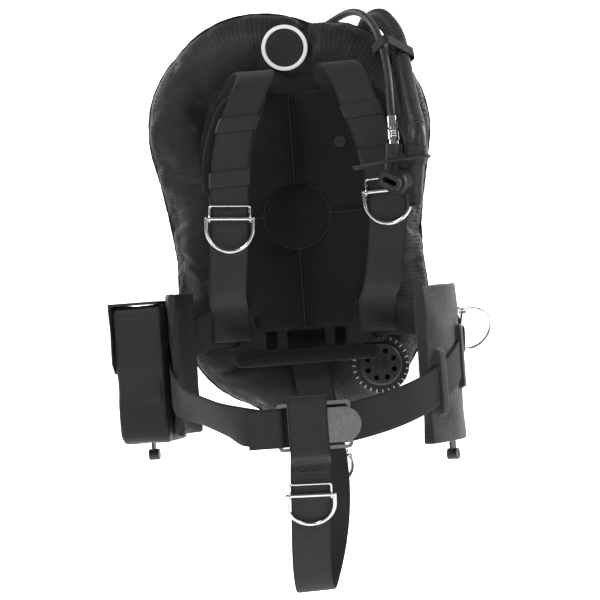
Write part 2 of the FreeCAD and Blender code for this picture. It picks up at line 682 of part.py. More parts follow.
def make_pad_screws():
    """Two book screws that clamp the pad to the plate, head and shank."""
    front = PAD_REAR - PAD_BASE_THICK - PAD_RAISE
    screws = []
    for s in (-1, 1):
        x = s * PAD_SCREW_X
        shank = tube_y(x, front - 1, FLANGE_FRONT + PLATE_THICK + 1, PAD_SCREW_Z, 3.0)
        head = tube_y(x, front - 2.4, front - 0.2, PAD_SCREW_Z, 8.0)
        nut = tube_y(x, FLANGE_FRONT + PLATE_THICK + 0.1, FLANGE_FRONT + PLATE_THICK + 2.2, PAD_SCREW_Z, 8.0)
        slot = block(x - 6, x + 6, front - 3, front - 1.6, PAD_SCREW_Z - 0.8, PAD_SCREW_Z + 0.8)
        screws.append(fuse([shank, head, nut]).cut(slot))
    return Part.makeCompound(screws)


def make_lumbar_pad(strap):
    """The padded roll below the plate, with a tab that carries it on the crotch strap."""
    z1 = -PLATE_HEIGHT / 2 - 1.0
    z0 = z1 - LUMBAR_HEIGHT
    rear = FLANGE_FRONT - 4.0
    front = rear - LUMBAR_THICK
    long = LUMBAR_HALF_LENGTH
    roll = slab(rectangle(-long, long, z0, z1), LUMBAR_HEIGHT / 2 - 0.5, "y", front, rear)
    roll = soften(roll, 5.5, lambda e: all(abs(v.Y - front) < 1e-6 or abs(v.Y - rear) < 1e-6 for v in e.Vertexes))
    share = strap.share_nearest((z0 + z1) / 2)
    point = strap.frame(share)[0]
    tab = block(-20, 20, rear - 1, point.y, z0 + 5, z1 - 5)
    return fuse([roll, tab.cut(strap.room().fuse(block(-30, 30, point.y - 1.5, 20, z0, z1)))])


# ================================================================ shoulder straps
def shoulder_points(side, rise, crest, chest, waist):
    """From behind the plate, through its upper slot, over the shoulder and down to the waist strap."""
    slot_x = side * UPPER_SLOT_X
    behind = FLANGE_FRONT + PLATE_THICK + SEAT_GAP + WEBBING_THICK / 2
    before = FLANGE_FRONT - SEAT_GAP - WEBBING_THICK / 2
    lap = before - WEBBING_THICK - SEAT_GAP - 2.2
    start = [
        (slot_x + side * 2, behind + 0.3, UPPER_SLOT_Z - 34),
        (slot_x + side, behind + 0.3, UPPER_SLOT_Z - 12),
        (slot_x, (behind + before) / 2, UPPER_SLOT_Z),
        (slot_x - side * 3, before - 0.3, UPPER_SLOT_Z + 12),
    ]
    end = [(waist[0], lap - 0.6, waist[1] + 4), (waist[0], lap + 0.6, waist[1] - 10), (waist[0], lap + 0.6, waist[1] - 24)]
    return start + rise + crest + chest + end


def right_shoulder():
    return Strap(
        shoulder_points(
            -1,
            [(-64, FLANGE_FRONT - 3.5, 176)],
            [(-50, -48, 195), (-42, -78, 196), (-46, -104, 180)],
            [(-65, -124, 140), (-84, -142, 73), (-90, -149, 0), (-95, -138, -50), (-102, -92, -108)],
            (-101, LOWER_SLOT_Z + 6),
        ),
        (1, 0, 0),
        ((0, 0), (0.3, 0), (0.5, -4), (0.8, -4), (1, 0)),
    )


def left_shoulder():
    return Strap(
        shoulder_points(
            1,
            [(66, FLANGE_FRONT - 3.5, 177)],
            [(62, -46, 198), (72, -74, 200), (84, -98, 178)],
            [(97, -120, 136), (113, -140, 82), (122, -148, 20), (119, -138, -36), (106, -92, -108)],
            (100, LOWER_SLOT_Z + 6),
        ),
        (1, 0, 0),
        ((0, 0), (0.2, 0), (0.35, 14), (0.6, 8), (0.8, 0), (1, 0)),
    )


def shoulder_pad(strap, start, end, aside):
    """Foam under the strap and its loops, rounded off at both ends and set outwards by a little."""
    offset = -(WEBBING_THICK / 2 + 2 * SEAT_GAP + KEEPER_WALL + SHOULDER_PAD_THICK / 2)
    ends = lambda t: math.sqrt(max(0.12, 1 - abs(2 * t - 1) ** 7))
    return strap.band(SHOULDER_PAD_WIDTH, SHOULDER_PAD_THICK, offset, start, end, 18, ends, aside)


def keeper(strap, share):
    """An elastic loop round the strap and its pad."""
    half = KEEPER_LENGTH / 2 / strap.length
    around = WEBBING_THICK + 2 * SEAT_GAP
    return sleeve(strap, share - half, share + half, WEBBING_WIDTH + 2 * SEAT_GAP, around, 0, KEEPER_WALL)


# ================================================================ belt and buckle
def belt_points(side, hips):
    slot_x = side * LOWER_SLOT_X
    behind = FLANGE_FRONT + PLATE_THICK + SEAT_GAP + WEBBING_THICK / 2 + 0.2
    before = FLANGE_FRONT - SEAT_GAP - WEBBING_THICK / 2 - 0.2
    z = LOWER_SLOT_Z
    start = [
        (slot_x - side * 26, behind, z),
        (slot_x - side * 10, behind, z),
        (slot_x, (behind + before) / 2, z),
        (slot_x + side * 10, before, z),
        (slot_x + side * 25, before - 0.3, z),
    ]
    return start + hips


def left_belt():
    hips = [(148, -31, -150), (186, -42, -158), (204, -68, -172), (207, -110, -197), (196, -155, -219),
            (166, -208, -243), (116, -256, -263), (68, -279.5, -274), (42, -285.8, -278)]
    hips += [(x, BELT_FRONT_Y, BELT_FRONT_Z) for x in (22, 8, -6, -20, -34, -50, BELT_LEFT_END)]
    return Strap(belt_points(1, hips), (0, 0, -1), steps=BELT_STEPS)


def right_strap_y():
    """The right strap lies on the left one's free end."""
    return BELT_FRONT_Y - WEBBING_THICK - SEAT_GAP


def right_belt():
    y = right_strap_y()
    hips = [(-142, -32, -152), (-166, -48, -164), (-182, -90, -192), (-183, -140, -222), (-168, -190, -240),
            (-138, -236, -253), (-104, -271, -268), (-80, y + 0.8, -276), (-66, y, BELT_FRONT_Z)]
    rolls = ((0, 0), (0.56, 0), (0.72, 26), (0.84, 26), (0.97, 0), (1, 0))
    return Strap(belt_points(-1, hips), (0, 0, 1), rolls, BELT_STEPS)


def buckle_fold():
    """The right strap's end, folded round the buckle's bar and sewn back on itself."""
    inner = right_strap_y()
    frame_front = buckle_rear() - BUCKLE_THICK
    outer = frame_front - SEAT_GAP - WEBBING_THICK / 2
    turn_x = BUCKLE_LEFT + BUCKLE_BAR + SEAT_GAP + WEBBING_THICK / 2 + 0.4
    sewn = inner - WEBBING_THICK - SEAT_GAP
    z = BELT_FRONT_Z
    points = [(-70, inner, z), (turn_x, inner, z), (turn_x, outer, z), (-48, outer, z), (-56, sewn, z), (-84, sewn, z)]
    return flat_strap(points, (inner - outer) / 2 - 0.01, WEBBING_WIDTH, WEBBING_THICK)


def buckle_rear():
    return right_strap_y() - WEBBING_THICK / 2 - SEAT_GAP


def make_buckle_frame():
    """A flat frame with two slots and two ears that carry the lever's pin."""
    rear = buckle_rear()
    front = rear - BUCKLE_THICK
    z0, z1 = BELT_FRONT_Z - BUCKLE_HALF_HEIGHT, BELT_FRONT_Z + BUCKLE_HALF_HEIGHT
    plate = slab(rectangle(BUCKLE_LEFT, BUCKLE_RIGHT, z0, z1), 6, "y", front, rear)
    half = WEBBING_WIDTH / 2 + 1
    first = BUCKLE_LEFT + BUCKLE_BAR
    slots = [(first, first + 9), (BUCKLE_PIN_X - 11, BUCKLE_PIN_X + 10), (BUCKLE_PIN_X + 16, BUCKLE_RIGHT - BUCKLE_BAR)]
    for x0, x1 in slots:
        plate = plate.cut(slab(rectangle(x0, x1, BELT_FRONT_Z - half, BELT_FRONT_Z + half), 2, "y", front - 1, rear + 1))
    pin_y = buckle_pin_y()
    ears = []
    for low in (z0, z1 - BUCKLE_THICK):
        x = BUCKLE_PIN_X
        outline = [(x - 9, rear), (x - 5, pin_y - 3.4), (x + 5, pin_y - 3.4), (x + 9, rear)]
        ears.append(slab(outline, 2.5, "z", low, low + BUCKLE_THICK))
    return fuse([plate, *ears])


def buckle_pin_y():
    return buckle_rear() - BUCKLE_THICK - 4.2


def make_buckle_pin():
    length = 2 * BUCKLE_HALF_HEIGHT + 1.0
    return Part.makeCylinder(BUCKLE_PIN_R, length, V(BUCKLE_PIN_X, buckle_pin_y(), BELT_FRONT_Z - length / 2))


def make_buckle_lever():
    """The clamping lever: a long plate with a round end, a rolled barrel and a toothed cam lip."""
    pin_y = buckle_pin_y()
    half = LEVER_HALF_HEIGHT
    z0, z1 = BELT_FRONT_Z - half, BELT_FRONT_Z + half
    x = BUCKLE_PIN_X
    face = pin_y - 3.6
    end = LEVER_RIGHT - half
    plate = fuse([
        block(x, end, face, face + BUCKLE_THICK, z0, z1),
        tube_y(end, face, face + BUCKLE_THICK, BELT_FRONT_Z, half),
    ])
    barrel = Part.makeCylinder(3.6, 2 * half, V(x, pin_y, z0))
    lip = slab([(x - 7.5, pin_y + 1), (x - 5, pin_y + 3.6), (x + 1, pin_y + 2.5), (x + 1, pin_y - 1)], 0.8, "z", z0, z1)
    lever = fuse([plate, barrel, lip])
    return lever.cut(Part.makeCylinder(BUCKLE_PIN_R + 0.2, 2 * half + 4, V(x, pin_y, z0 - 2)))


# ================================================================ crotch strap
def crotch_rear_y():
    """The rear layer of the crotch strap's loop, behind the belt."""
    return BELT_FRONT_Y + WEBBING_THICK + 4 * SEAT_GAP


def crotch_front_y():
    """The front layer, in front of the buckle's lever."""
    return buckle_pin_y() - 3.6 - LEVER_ROOM - WEBBING_THICK / 2


def crotch_run():
    """From behind the plate, through its slot, under the wearer and up behind the belt."""
    behind = SEAT_GAP + WEBBING_THICK / 2
    before = -PLATE_THICK - SEAT_GAP - WEBBING_THICK / 2
    z = CROTCH_SLOT_Z
    y = crotch_rear_y()
    points = [
        (0, behind, z + 12), (0, behind - 0.2, z + 8), (0.3, (behind + before) / 2, z), (0.6, before - 0.6, z - 9),
        (1, -9, z - 21), (5, -17, -222), (14, -48, -292), (19, -92, -362), (12, -122, -430), (0, -142, -476),
        (-8, -158, -497), (-12, -176, -502), (-14, -192, -494), (-15, -214, -464), (-13, -238, -418),
        (-10, -263, -368), (-8, y + 4, -332), (CROTCH_X - 0.6, y + 0.9, -319), (CROTCH_X, y + 0.1, -306),
        (CROTCH_X, y, -294), (CROTCH_X, y, -282), (CROTCH_X, y, -270), (CROTCH_X, y, -258),
    ]
    return Strap(points, (-1, 0, 0), steps=50)


def crotch_loop():
    """The loop that holds the belt: up behind it, over the top and down in front of the buckle."""
    rear, front = crotch_rear_y(), crotch_front_y()
    top = BELT_FRONT_Z + BUCKLE_HALF_HEIGHT + 7
    low = BELT_FRONT_Z - BUCKLE_HALF_HEIGHT
    sewn = rear - WEBBING_THICK - SEAT_GAP
    x = CROTCH_X
    points = [(x, rear, -285), (x, rear, top), (x, front, top), (x, front, low - 6), (x, sewn, low - 18), (x, sewn + 3.6, low - 30)]
    return flat_strap(points, 5.5, WEBBING_WIDTH, WEBBING_THICK)


# ================================================================ hoses
def elbow_axis_y():
    return elbow_face() + 22


def make_elbow():
    """The wing's hose fitting: a flanged base, a bend and a spigot that points up."""
    face = elbow_face()
    x, z = HOSE_ELBOW_X, HOSE_ELBOW_Z
    y = elbow_axis_y()
    base = tube_y(x, face - 4, face + 5, z, HOSE_R + 6)
    wire, _ = rounded_path([(x, face, z), (x, y, z), (x, y, z + 21.7)], 12)
    spigot = rod(wire, HOSE_R - 3)
    collar = Part.makeCylinder(HOSE_R, 4, V(x, y, z + 17.7))
    return fuse([soften(base, 1.5, lambda e: on_circle(e, face + 5, HOSE_R + 6)), spigot, collar])


def hose_points():
    """The corrugated hose: up from the elbow, over the wing's top and down to the inflator."""
    x, y, z = HOSE_ELBOW_X, elbow_axis_y(), HOSE_ELBOW_Z + 22
    over = [(x, y, z), (x, y, z + 27), (119, 84, 266), (137, 44, 273), (155, -2, 242), (160, -56, 176), (163, -126, 126)]
    return over + [tuple(inflator_point(p)) for p in ((0, 0, 22), (0, 0, -16))]


INFLATOR_TOP = (163, -180, 74)
INFLATOR_LEAN = 8.0


def inflator_point(point):
    """A point of the upright inflator, where it hangs."""
    return inflator_place(Part.Vertex(*point)).Point


def lp_points():
    """The low-pressure hose: from the inflator up beside the corrugated hose, over the wing and down."""
    start = lp_start()
    return [
        tuple(start), tuple(start + lp_rise() * 44), (137, -86, 186), (133, -40, 228), (123, 2, 262), (102, 42, 284),
        (70, 80, 274), (34, 98, 250), (6, 108, 216), (-2, 112, 170), (-2, 112, 122),
    ]


CHAMBER = (-29, -2)         # where the hose's valve chamber stands in the inflator
CHAMBER_TOP = 2


def lp_rise():
    return V(0.01, 0.52, 0.85).normalize()


def lp_start():
    """The hose starts inside its ferrule, above the inflator's valve chamber."""
    return inflator_point((*CHAMBER, CHAMBER_TOP)) + lp_rise() * 30


def make_lp_fitting():
    """A hexagon nut and a threaded end, on the hose's far end."""
    *_, before, last = lp_points()
    along = (V(*last) - V(*before)).normalize()
    start = V(*last)
    crimp = Part.makeCylinder(LP_FERRULE_R, 16, start - along * 12, along)
    swivel = Part.makeCylinder(4.6, 5, start + along * 4, along)
    thread = Part.makeCylinder(4.75, 10, start + along * 16, along)
    turned = FreeCAD.Rotation(V(0, 0, 1), along)
    hexagon = Part.makePolygon([turned.multVec(V(8 * math.cos(k * math.pi / 3), 8 * math.sin(k * math.pi / 3), 0))
                                + start + along * 8 for k in range(7)])
    nut = Part.Face(hexagon).extrude(along * 9)
    fitting = fuse([crimp, swivel, nut, thread])
    return fitting.cut(lp_hose_solid())


def lp_hose_solid():
    wire, radii = rounded_path(lp_points())
    return rod(wire, LP_HOSE_R)


# ================================================================ inflator
def inflator_place(shape):
    """Inflator pieces are made upright, with the hose socket's top at the origin."""
    moved = shape.copy()
    moved.rotate(V(0, 0, 0), V(0, 1, 0), INFLATOR_LEAN)
    moved.translate(V(*INFLATOR_TOP))
    return moved


BOSS = (-19, -6, -46)       # the mouthpiece's boss: where it starts and which way it points
BOSS_WAY = (-0.35, -1, -0.1)


def z_bar(x, y, z0, z1, r):
    return Part.makeCylinder(r, z1 - z0, V(x, y, z0))


def make_inflator_body(nipple):
    """The moulded housing: hose socket, air way, valve chamber for the hose, boss for the mouthpiece."""
    socket = z_bar(0, 0, -22, 2, HOSE_R + 2)
    airway = z_bar(0, 0, -62, -20, 13.0)
    x, y = CHAMBER
    chamber = z_bar(x, y, -34, CHAMBER_TOP, 10.5)
    bridge = slab([(x, -30), (x, -6), (0, -14), (0, -46)], 5, "y", -9, 6)
    boss = Part.makeCylinder(15.5, 22, V(*BOSS), V(*BOSS_WAY))
    saddle = Part.makeSphere(16.5, V(-13, -3, -44))
    tail = z_bar(3, 0, -74, -56, 10.5)
    ribs = [Part.makeTorus(HOSE_R + 2, 1.1, V(0, 0, z)) for z in (-4, -11)]
    body = fuse([socket, airway, chamber, bridge, boss, saddle, tail, *ribs])
    cuts = [
        z_bar(0, 0, -16.3, 4, HOSE_R + SEAT_GAP),
        Part.makeCylinder(7.4, 10, V(x, y - 13, -18), V(0, 1, 0)),
        z_bar(3, 0, -76, -64, 7.4),
        Part.makeCylinder(9.5, 23, V(*BOSS), V(*BOSS_WAY)),
    ]
    return inflator_place(body.cut(fuse(cuts))).cut(nipple)


def make_mouthpiece():
    """A soft oval lip with a slot, on a round neck."""
    lip = slab([(-15, -9), (15, -9), (15, 9), (-15, 9)], 8.5, "y", -17, -5)
    flange = slab([(-19, -12.5), (19, -12.5), (19, 12.5), (-19, 12.5)], 12, "y", -6, -2)
    neck = tube_y(0, -3, 14, 0, 9.2)
    slot = slab([(-10, -3.4), (10, -3.4), (10, 3.4), (-10, 3.4)], 3.3, "y", -18, 1)
    bore = tube_y(0, 0, 15, 0, 6.5)
    piece = fuse([lip, flange, neck]).cut(fuse([slot, bore]))
    piece.rotate(V(0, 0, 0), V(0, 1, 0), 22)
    piece.Placement = FreeCAD.Placement(V(*BOSS) + V(*BOSS_WAY).normalize() * 25,
                                        FreeCAD.Rotation(V(0, -1, 0), V(*BOSS_WAY))).multiply(piece.Placement)
    return inflator_place(piece)


def make_inflate_button():
    x, y = CHAMBER
    cap = tube_y(x, y - 16, y - 7, -18, 7.0)
    cap = soften(cap, 1.6, lambda e: on_circle(e, y - 16, 7.0))
    return inflator_place(cap)


def make_deflate_button():
    cap = z_bar(3, 0, -79, -68, 7.0)
    rim = z_bar(3, 0, -79, -75.5, 9.0)
    return inflator_place(fuse([cap, rim]))


def make_quick_disconnect():
    """The knurled sleeve that locks the hose on the inflator's nipple."""
    outer = z_bar(0, 0, 5.4, 20, 7.6)
    grooves = [Part.makeTorus(8.2, 1.1, V(0, 0, z)) for z in (8, 12, 16)]
    return qd_place(outer.cut(fuse([z_bar(0, 0, 4, 21, 4.7), *grooves])))


def make_nipple():
    """The inflator's nipple that the sleeve rides on, with its shoulder."""
    return qd_place(fuse([z_bar(0, 0, -12, 24, 4.4), z_bar(0, 0, -4, 4.0, 6.4)]))


def make_ferrule():
    """The crimped end of the low-pressure hose."""
    return qd_place(z_bar(0, 0, 24, 42, LP_FERRULE_R)).cut(lp_hose_solid())


def qd_axis():
    return lp_rise()


def qd_place(shape):
    """Pieces on the hose's first run, made along +Z with the sleeve's lower end at the origin."""
    along = qd_axis()
    moved = shape.copy()
    moved.Placement = FreeCAD.Placement(lp_start() - along * 30, FreeCAD.Rotation(V(0, 0, 1), along))
    return moved


def make_hose_ties():
    """Two ties: one clamps the hose on the elbow's spigot, the other ties the two hoses together."""
    x, y, z = hose_points()[0]
    clamp = z_bar(x, y, z + 1, z + 7, HOSE_R + 2.2).cut(z_bar(x, y, z, z + 8, HOSE_R + 0.2))
    head = block(x - 3, x + 3, y + HOSE_R + 1.5, y + HOSE_R + 6, z + 0.5, z + 7.5)
    return fuse([clamp, head])


def make_retainer():
    """A webbing loop that holds the low-pressure hose against the corrugated one."""
    hose, thin = [V(*p) for p in hose_points()[4:6]], [V(*p) for p in lp_points()[2:4]]
    a, p = (hose[0] + hose[1]) / 2, (thin[0] + thin[1]) / 2
    along, run = (hose[1] - hose[0]).normalize(), (thin[1] - thin[0]).normalize()
    b = p + run * ((a - p).dot(along) / run.dot(along))
    across = (b - a).normalize()
    side = along.cross(across)
    r, s_ = HOSE_R + 0.8, LP_HOSE_R + 0.8
    corners = [a - across * r + side * r, a - across * r - side * r, b + across * s_ - side * r, b + across * s_ + side * r]
    corners = [c - along * 8 for c in corners]
    inner, _ = rounded_path([tuple(c) for c in corners], 5, closed=True)
    outer = inner.makeOffset2D(1.6)
    if Part.Face(outer).Area < Part.Face(inner).Area:
        outer = inner.makeOffset2D(-1.6)
    return Part.Face(outer).extrude(along * 16).cut(Part.Face(inner).extrude(along * 16))


def make_bungee():
    """The elastic loop that keeps the inflator at the shoulder strap."""
    plan = [(82, -120), (150, -116), (180.3, -146), (180.3, -198), (118, -203), (80, -166)]
    points = [(x, y, 58 + 0.07 * (x - 140)) for x, y in plan]
    wire, _ = rounded_path(points, 14, closed=True)
    return rod(wire, 2.0)


# ================================================================ pockets
class PouchPlace:
    """Where a pocket hangs: +X runs along the belt, +Y away from the wearer and +Z up."""

    def __init__(self, strap, share):
        self.point, along, _, normal = strap.frame(share)
        self.out = V(normal.x, normal.y, 0).normalize()
        self.along = V(along.x, along.y, 0).normalize()

    def put(self, shape):
        x = self.out.cross(V(0, 0, 1))
        y, p = self.out, self.point
        matrix = FreeCAD.Matrix(x.x, y.x, 0, p.x, x.y, y.y, 0, p.y, x.z, y.z, 1, p.z, 0, 0, 0, 1)
        moved = shape.copy()
        moved.Placement = FreeCAD.Placement(matrix).multiply(moved.Placement)
        return moved


POUCH_BACK = WEBBING_THICK / 2 + 1.2
POUCH_TOP = POCKET_HEIGHT / 2 - 12
POUCH_LOW = -POCKET_HEIGHT / 2 - 8


def upright_wall(strap, span, inner, outer, z0, z1, steps=10):
    """A wall that stands upright and follows the belt in plan, between two distances outside it."""
    sides = ([], [])
    for i in range(steps + 1):
        point, along, _, normal = strap.frame(span[0] + (span[1] - span[0]) * i / steps)
        out = V(along.y, -along.x, 0).normalize()
        out = out if out.dot(normal) > 0 else out * -1
        for side, off in zip(sides, (inner, outer)):
            side.append(V(point.x, point.y, z0) + out * off)
    edges = []
    for side in sides:
        curve = Part.BSplineCurve()
        curve.interpolate(side)
        edges.append(curve.toShape())
    edges += [Part.LineSegment(sides[0][k], sides[1][k]).toShape() for k in (0, -1)]
    face = Part.Face(Part.Wire(Part.__sortEdges__(edges)))
    return face.extrude(V(0, 0, z1 - z0))


def make_right_pocket(strap, place, span):
    """A backing panel inside the belt and a deep pouch outside it, joined above and below the belt."""
    rear = -(WEBBING_THICK / 2 + SEAT_GAP + 0.5)
    z = place.point.z
    panel = upright_wall(strap, span, rear - POCKET_PANEL_THICK, rear, z - POCKET_HEIGHT / 2, z + POCKET_HEIGHT / 2)
    half, w = POCKET_HALF_WIDTH, POCKET_WALL
    y0, y1 = POUCH_BACK, POUCH_BACK + POCKET_RIGHT_DEPTH
    outer = slab(rectangle(-half, half, POUCH_LOW, POUCH_TOP), 14, "y", y0, y1)
    outer = soften(outer, 8, lambda e: all(abs(v.Y - y1) < 1e-6 for v in e.Vertexes))
    hollow = slab(rectangle(-half + w, half - w, POUCH_LOW + w, POUCH_TOP - w), 11, "y", y0 + w, y1 - w)
    mouth = block(-half + 9, half - 9, y0 + w, y1 - 9, POUCH_TOP - 20, POUCH_TOP + 1)
    joins = [block(-14, 14, -4, y0 + 1, *sorted((s * 43, s * 57))) for s in (-1, 1)]
    pouch = fuse([outer.cut(fuse([hollow, mouth])), *joins])
    return fuse([panel, place.put(pouch)]).cut(strap.room(SLOT_SPARE, SEAT_GAP))


def make_pocket_flap():
    """The lid over the pouch's mouth and down its face, made in the pocket's own place."""
    half = POCKET_HALF_WIDTH + 2
    y1 = POUCH_BACK + POCKET_RIGHT_DEPTH
    gap, thick = 0.8, 3.0
    z0, z1 = POUCH_TOP + gap, POUCH_TOP + gap + thick
    top = block(-half, half, POUCH_BACK + 4, y1 + gap + thick, z0, z1)
    outline = [(-half, z1), (half, z1), (half, z1 - 82), (half - 14, z1 - 95), (-half + 14, z1 - 95), (-half, z1 - 82)]
    face = slab(outline, 5, "y", y1 + gap, y1 + gap + thick)
    hem = Part.makeCylinder(2.0, 2 * half, V(-half, POUCH_BACK + 4, z0 + thick / 2), V(1, 0, 0))
    return fuse([top, face, hem])


def make_left_pocket(strap, place, span):
    """A flat empty pouch inside the belt, held by two loops round the belt."""
    rear = -(WEBBING_THICK / 2 + SEAT_GAP + 0.5)
    thick, w, half = POCKET_LEFT_DEPTH, POCKET_WALL, POCKET_HEIGHT / 2
    z = place.point.z
    edge = w / strap.length
    outer = upright_wall(strap, span, rear - thick, rear, z - half, z + half + 20)
    inside = (span[0] + edge, span[1] - edge)
    hollow = upright_wall(strap, inside, rear - thick + w, rear - w, z - half + w, z + half + 21)
    loops = []
    for at in (span[0] + 0.05, span[1] - 0.05):
        middle = strap.frame(at)[0].z
        here = (at - 9 / strap.length, at + 9 / strap.length)
        loops.append(upright_wall(strap, here, rear - 1, 5.0, middle - 42, middle + 42, 4))
    return fuse([outer.cut(hollow), *loops]).cut(strap.room(SLOT_SPARE, SEAT_GAP))


def make_toggle(y, low):
    """The drain tab and cord lock below a pouch."""
    tab = block(-9, 9, y - 1.5, y + 1.5, low - 12, low - SEAT_GAP)
    barrel = tube_y(0, y - 7, y + 7, low - 17, 7.5)
    return fuse([tab, barrel])


def make_pocket_cord(strap, share):
    """Elastic cord laced on the belt's outer face, just in front of the hip ring."""
    point, along, across, normal = strap.frame(share)
    off = normal * (WEBBING_THICK / 2 + 2.6)
    flat = [(-9, 18), (6, 20), (10, 2), (5, -18), (-8, -14)]
    wire, _ = rounded_path([tuple(point + off + along * a + across * b) for a, b in flat], 7, closed=True)
    return rod(wire, 2.0)


# ================================================================ all pieces
def build():
    left_arm, right_arm = left_shoulder(), right_shoulder()
    keepers_right = Part.makeCompound([keeper(right_arm, at) for at in (0.40, 0.53)])
    keepers_left = Part.makeCompound([keeper(left_arm, at) for at in (0.38, 0.50)])
    nipple = make_nipple()
    left, right = left_belt(), right_belt()
    crotch = crotch_run()
    wing = make_wing()
    base, cap, poppet, spring = make_valve()
    pouch_right = PouchPlace(right, 0.36)
    pouch_left = PouchPlace(left, 0.45)
    pouch_middle = POUCH_BACK + POCKET_RIGHT_DEPTH / 2
    left_middle = -(WEBBING_THICK / 2 + SEAT_GAP + POCKET_LEFT_DEPTH / 2)
    parts = {
        "backplate": make_backplate([left_arm, right_arm, left, right, crotch]),
        "wing_shell": wing,
        "wing_centre_panel": make_wing_panel(wing),
        "wing_grommets": make_grommets(),
        "wing_badge": make_badge(),
        "valve_base": base,
        "valve_cap": cap,
        "valve_poppet": poppet,
        "valve_spring": spring,
        "back_pad": make_back_pad([left_arm, right_arm]),
        "pad_screws": make_pad_screws(),
        "lumbar_pad": make_lumbar_pad(crotch),
        "shoulder_strap_right": right_arm.webbing(),
        "shoulder_strap_left": left_arm.webbing(),
        "shoulder_pad_right": shoulder_pad(right_arm, 0.30, 0.575, -5),
        "shoulder_pad_left": shoulder_pad(left_arm, 0.30, 0.54, 5),
        "keepers_right": keepers_right,
        "keepers_left": keepers_left,
        "waist_strap_left": left.webbing(),
        "waist_strap_right": fuse([right.webbing(), buckle_fold()]),
        "buckle_frame": fuse([make_buckle_frame(), make_buckle_pin()]),
        "buckle_lever": make_buckle_lever(),
        "crotch_strap": fuse([crotch.webbing(), crotch_loop()]),
        "hose_elbow": make_elbow(),
        "corrugated_hose": rod(rounded_path(hose_points())[0], HOSE_R),
        "hose_ties": make_hose_ties(),
        "hose_retainer": make_retainer(),
        "inflator_body": make_inflator_body(nipple),
        "inflator_nipple": nipple,
        "mouthpiece": make_mouthpiece(),
        "inflate_button": make_inflate_button(),
        "deflate_button": make_deflate_button(),
        "quick_disconnect": make_quick_disconnect(),
        "inflator_bungee": make_bungee(),
        "lp_hose": lp_hose_solid(),
        "lp_ferrule": make_ferrule(),
        "lp_fitting": make_lp_fitting(),
        "pocket_right": make_right_pocket(right, pouch_right, (0.20, 0.56)),
        "pocket_right_flap": pouch_right.put(make_pocket_flap()),
        "pocket_right_toggle": pouch_right.put(make_toggle(pouch_middle, POUCH_LOW)),
        "pocket_left": make_left_pocket(left, pouch_left, (0.33, 0.57)),
        "pocket_left_toggle": pouch_left.put(make_toggle(left_middle, -POCKET_HEIGHT / 2)),
        "pocket_cord": make_pocket_cord(left, 0.30),
    }
    rings = {
        "shoulder_right": (right_arm, right_arm.share_nearest(-1, 0.5, 0.9), 0, 1, 0.3),
        "shoulder_left": (left_arm, left_arm.share_nearest(21, 0.5, 0.9), 0, 1, 0.3),
        "hip": (left, 0.262, 90, 1, 1.9),
        "crotch_front": (crotch, crotch.share_nearest(-366, 0.6, 0.9), 0, -1, 2.0),
        "crotch_rear": (crotch, crotch.share_nearest(-330, 0.1, 0.4), 0, 1, 2.0),
    }
    for name, place in rings.items():
        slide, ring = ring_set(*place)
        parts["slide_" + name] = slide
        parts["ring_" + name] = ring
    for z, level in zip(BAND_Z, ("upper", "lower")):
        parts["tank_band_" + level] = make_band(z)
        parts["cam_buckle_" + level] = make_cam_buckle(z)
        parts["cam_lever_" + level] = make_cam_lever(z)
        print("cam lever pin", level, [round(c, 2) for c in cam_axis(z)])
    hinge = pouch_right.put(Part.Vertex(0, POUCH_BACK + 4, POUCH_TOP + 2.3)).Vertexes[0].Point
    print("flap hinge", [round(c, 2) for c in hinge], "along", [round(c, 4) for c in pouch_right.along])
    return parts


os.makedirs("parts", exist_ok=True)
PARTS = build()
for name, shape in PARTS.items():
    if shape.Volume < 0:
        shape = shape.reversed()
    print(f"{name:24s} volume {shape.Volume / 1000:9.2f} cm3  solids {len(shape.Solids)}  valid {shape.isValid()}")
    shape.exportStep(f"parts/{name}.step")
print(len(PARTS), "pieces; hose bend radii", rounded_path(hose_points())[1], "low-pressure", rounded_path(lp_points())[1])
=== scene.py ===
import json
import math
import random

import bmesh
import bpy
import numpy as np
from mathutils import Matrix, Vector
from mathutils.bvhtree import BVHTree

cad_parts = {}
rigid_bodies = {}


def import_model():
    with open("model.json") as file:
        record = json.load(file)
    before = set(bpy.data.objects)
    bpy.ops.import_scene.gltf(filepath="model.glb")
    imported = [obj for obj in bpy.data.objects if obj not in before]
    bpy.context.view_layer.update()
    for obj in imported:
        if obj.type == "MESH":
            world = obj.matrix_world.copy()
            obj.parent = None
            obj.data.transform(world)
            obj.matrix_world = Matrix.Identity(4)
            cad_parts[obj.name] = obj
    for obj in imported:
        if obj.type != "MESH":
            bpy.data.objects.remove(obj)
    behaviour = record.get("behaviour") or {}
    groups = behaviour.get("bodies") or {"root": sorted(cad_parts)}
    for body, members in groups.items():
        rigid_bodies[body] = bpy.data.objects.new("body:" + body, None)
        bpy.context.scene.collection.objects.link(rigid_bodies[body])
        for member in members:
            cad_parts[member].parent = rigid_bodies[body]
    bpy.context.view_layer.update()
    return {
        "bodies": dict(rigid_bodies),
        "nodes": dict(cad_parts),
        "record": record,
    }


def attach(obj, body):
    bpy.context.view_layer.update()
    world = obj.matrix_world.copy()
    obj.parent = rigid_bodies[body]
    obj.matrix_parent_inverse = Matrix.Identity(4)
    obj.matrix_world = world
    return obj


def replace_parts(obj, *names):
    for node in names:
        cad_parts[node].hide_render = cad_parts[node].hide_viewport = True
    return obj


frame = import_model()
NODES = frame["nodes"]
random.seed(7)
rng = np.random.default_rng(7)


# ---------------------------------------------------------------- small helpers
def link(obj):
    bpy.context.scene.collection.objects.link(obj)
    return obj


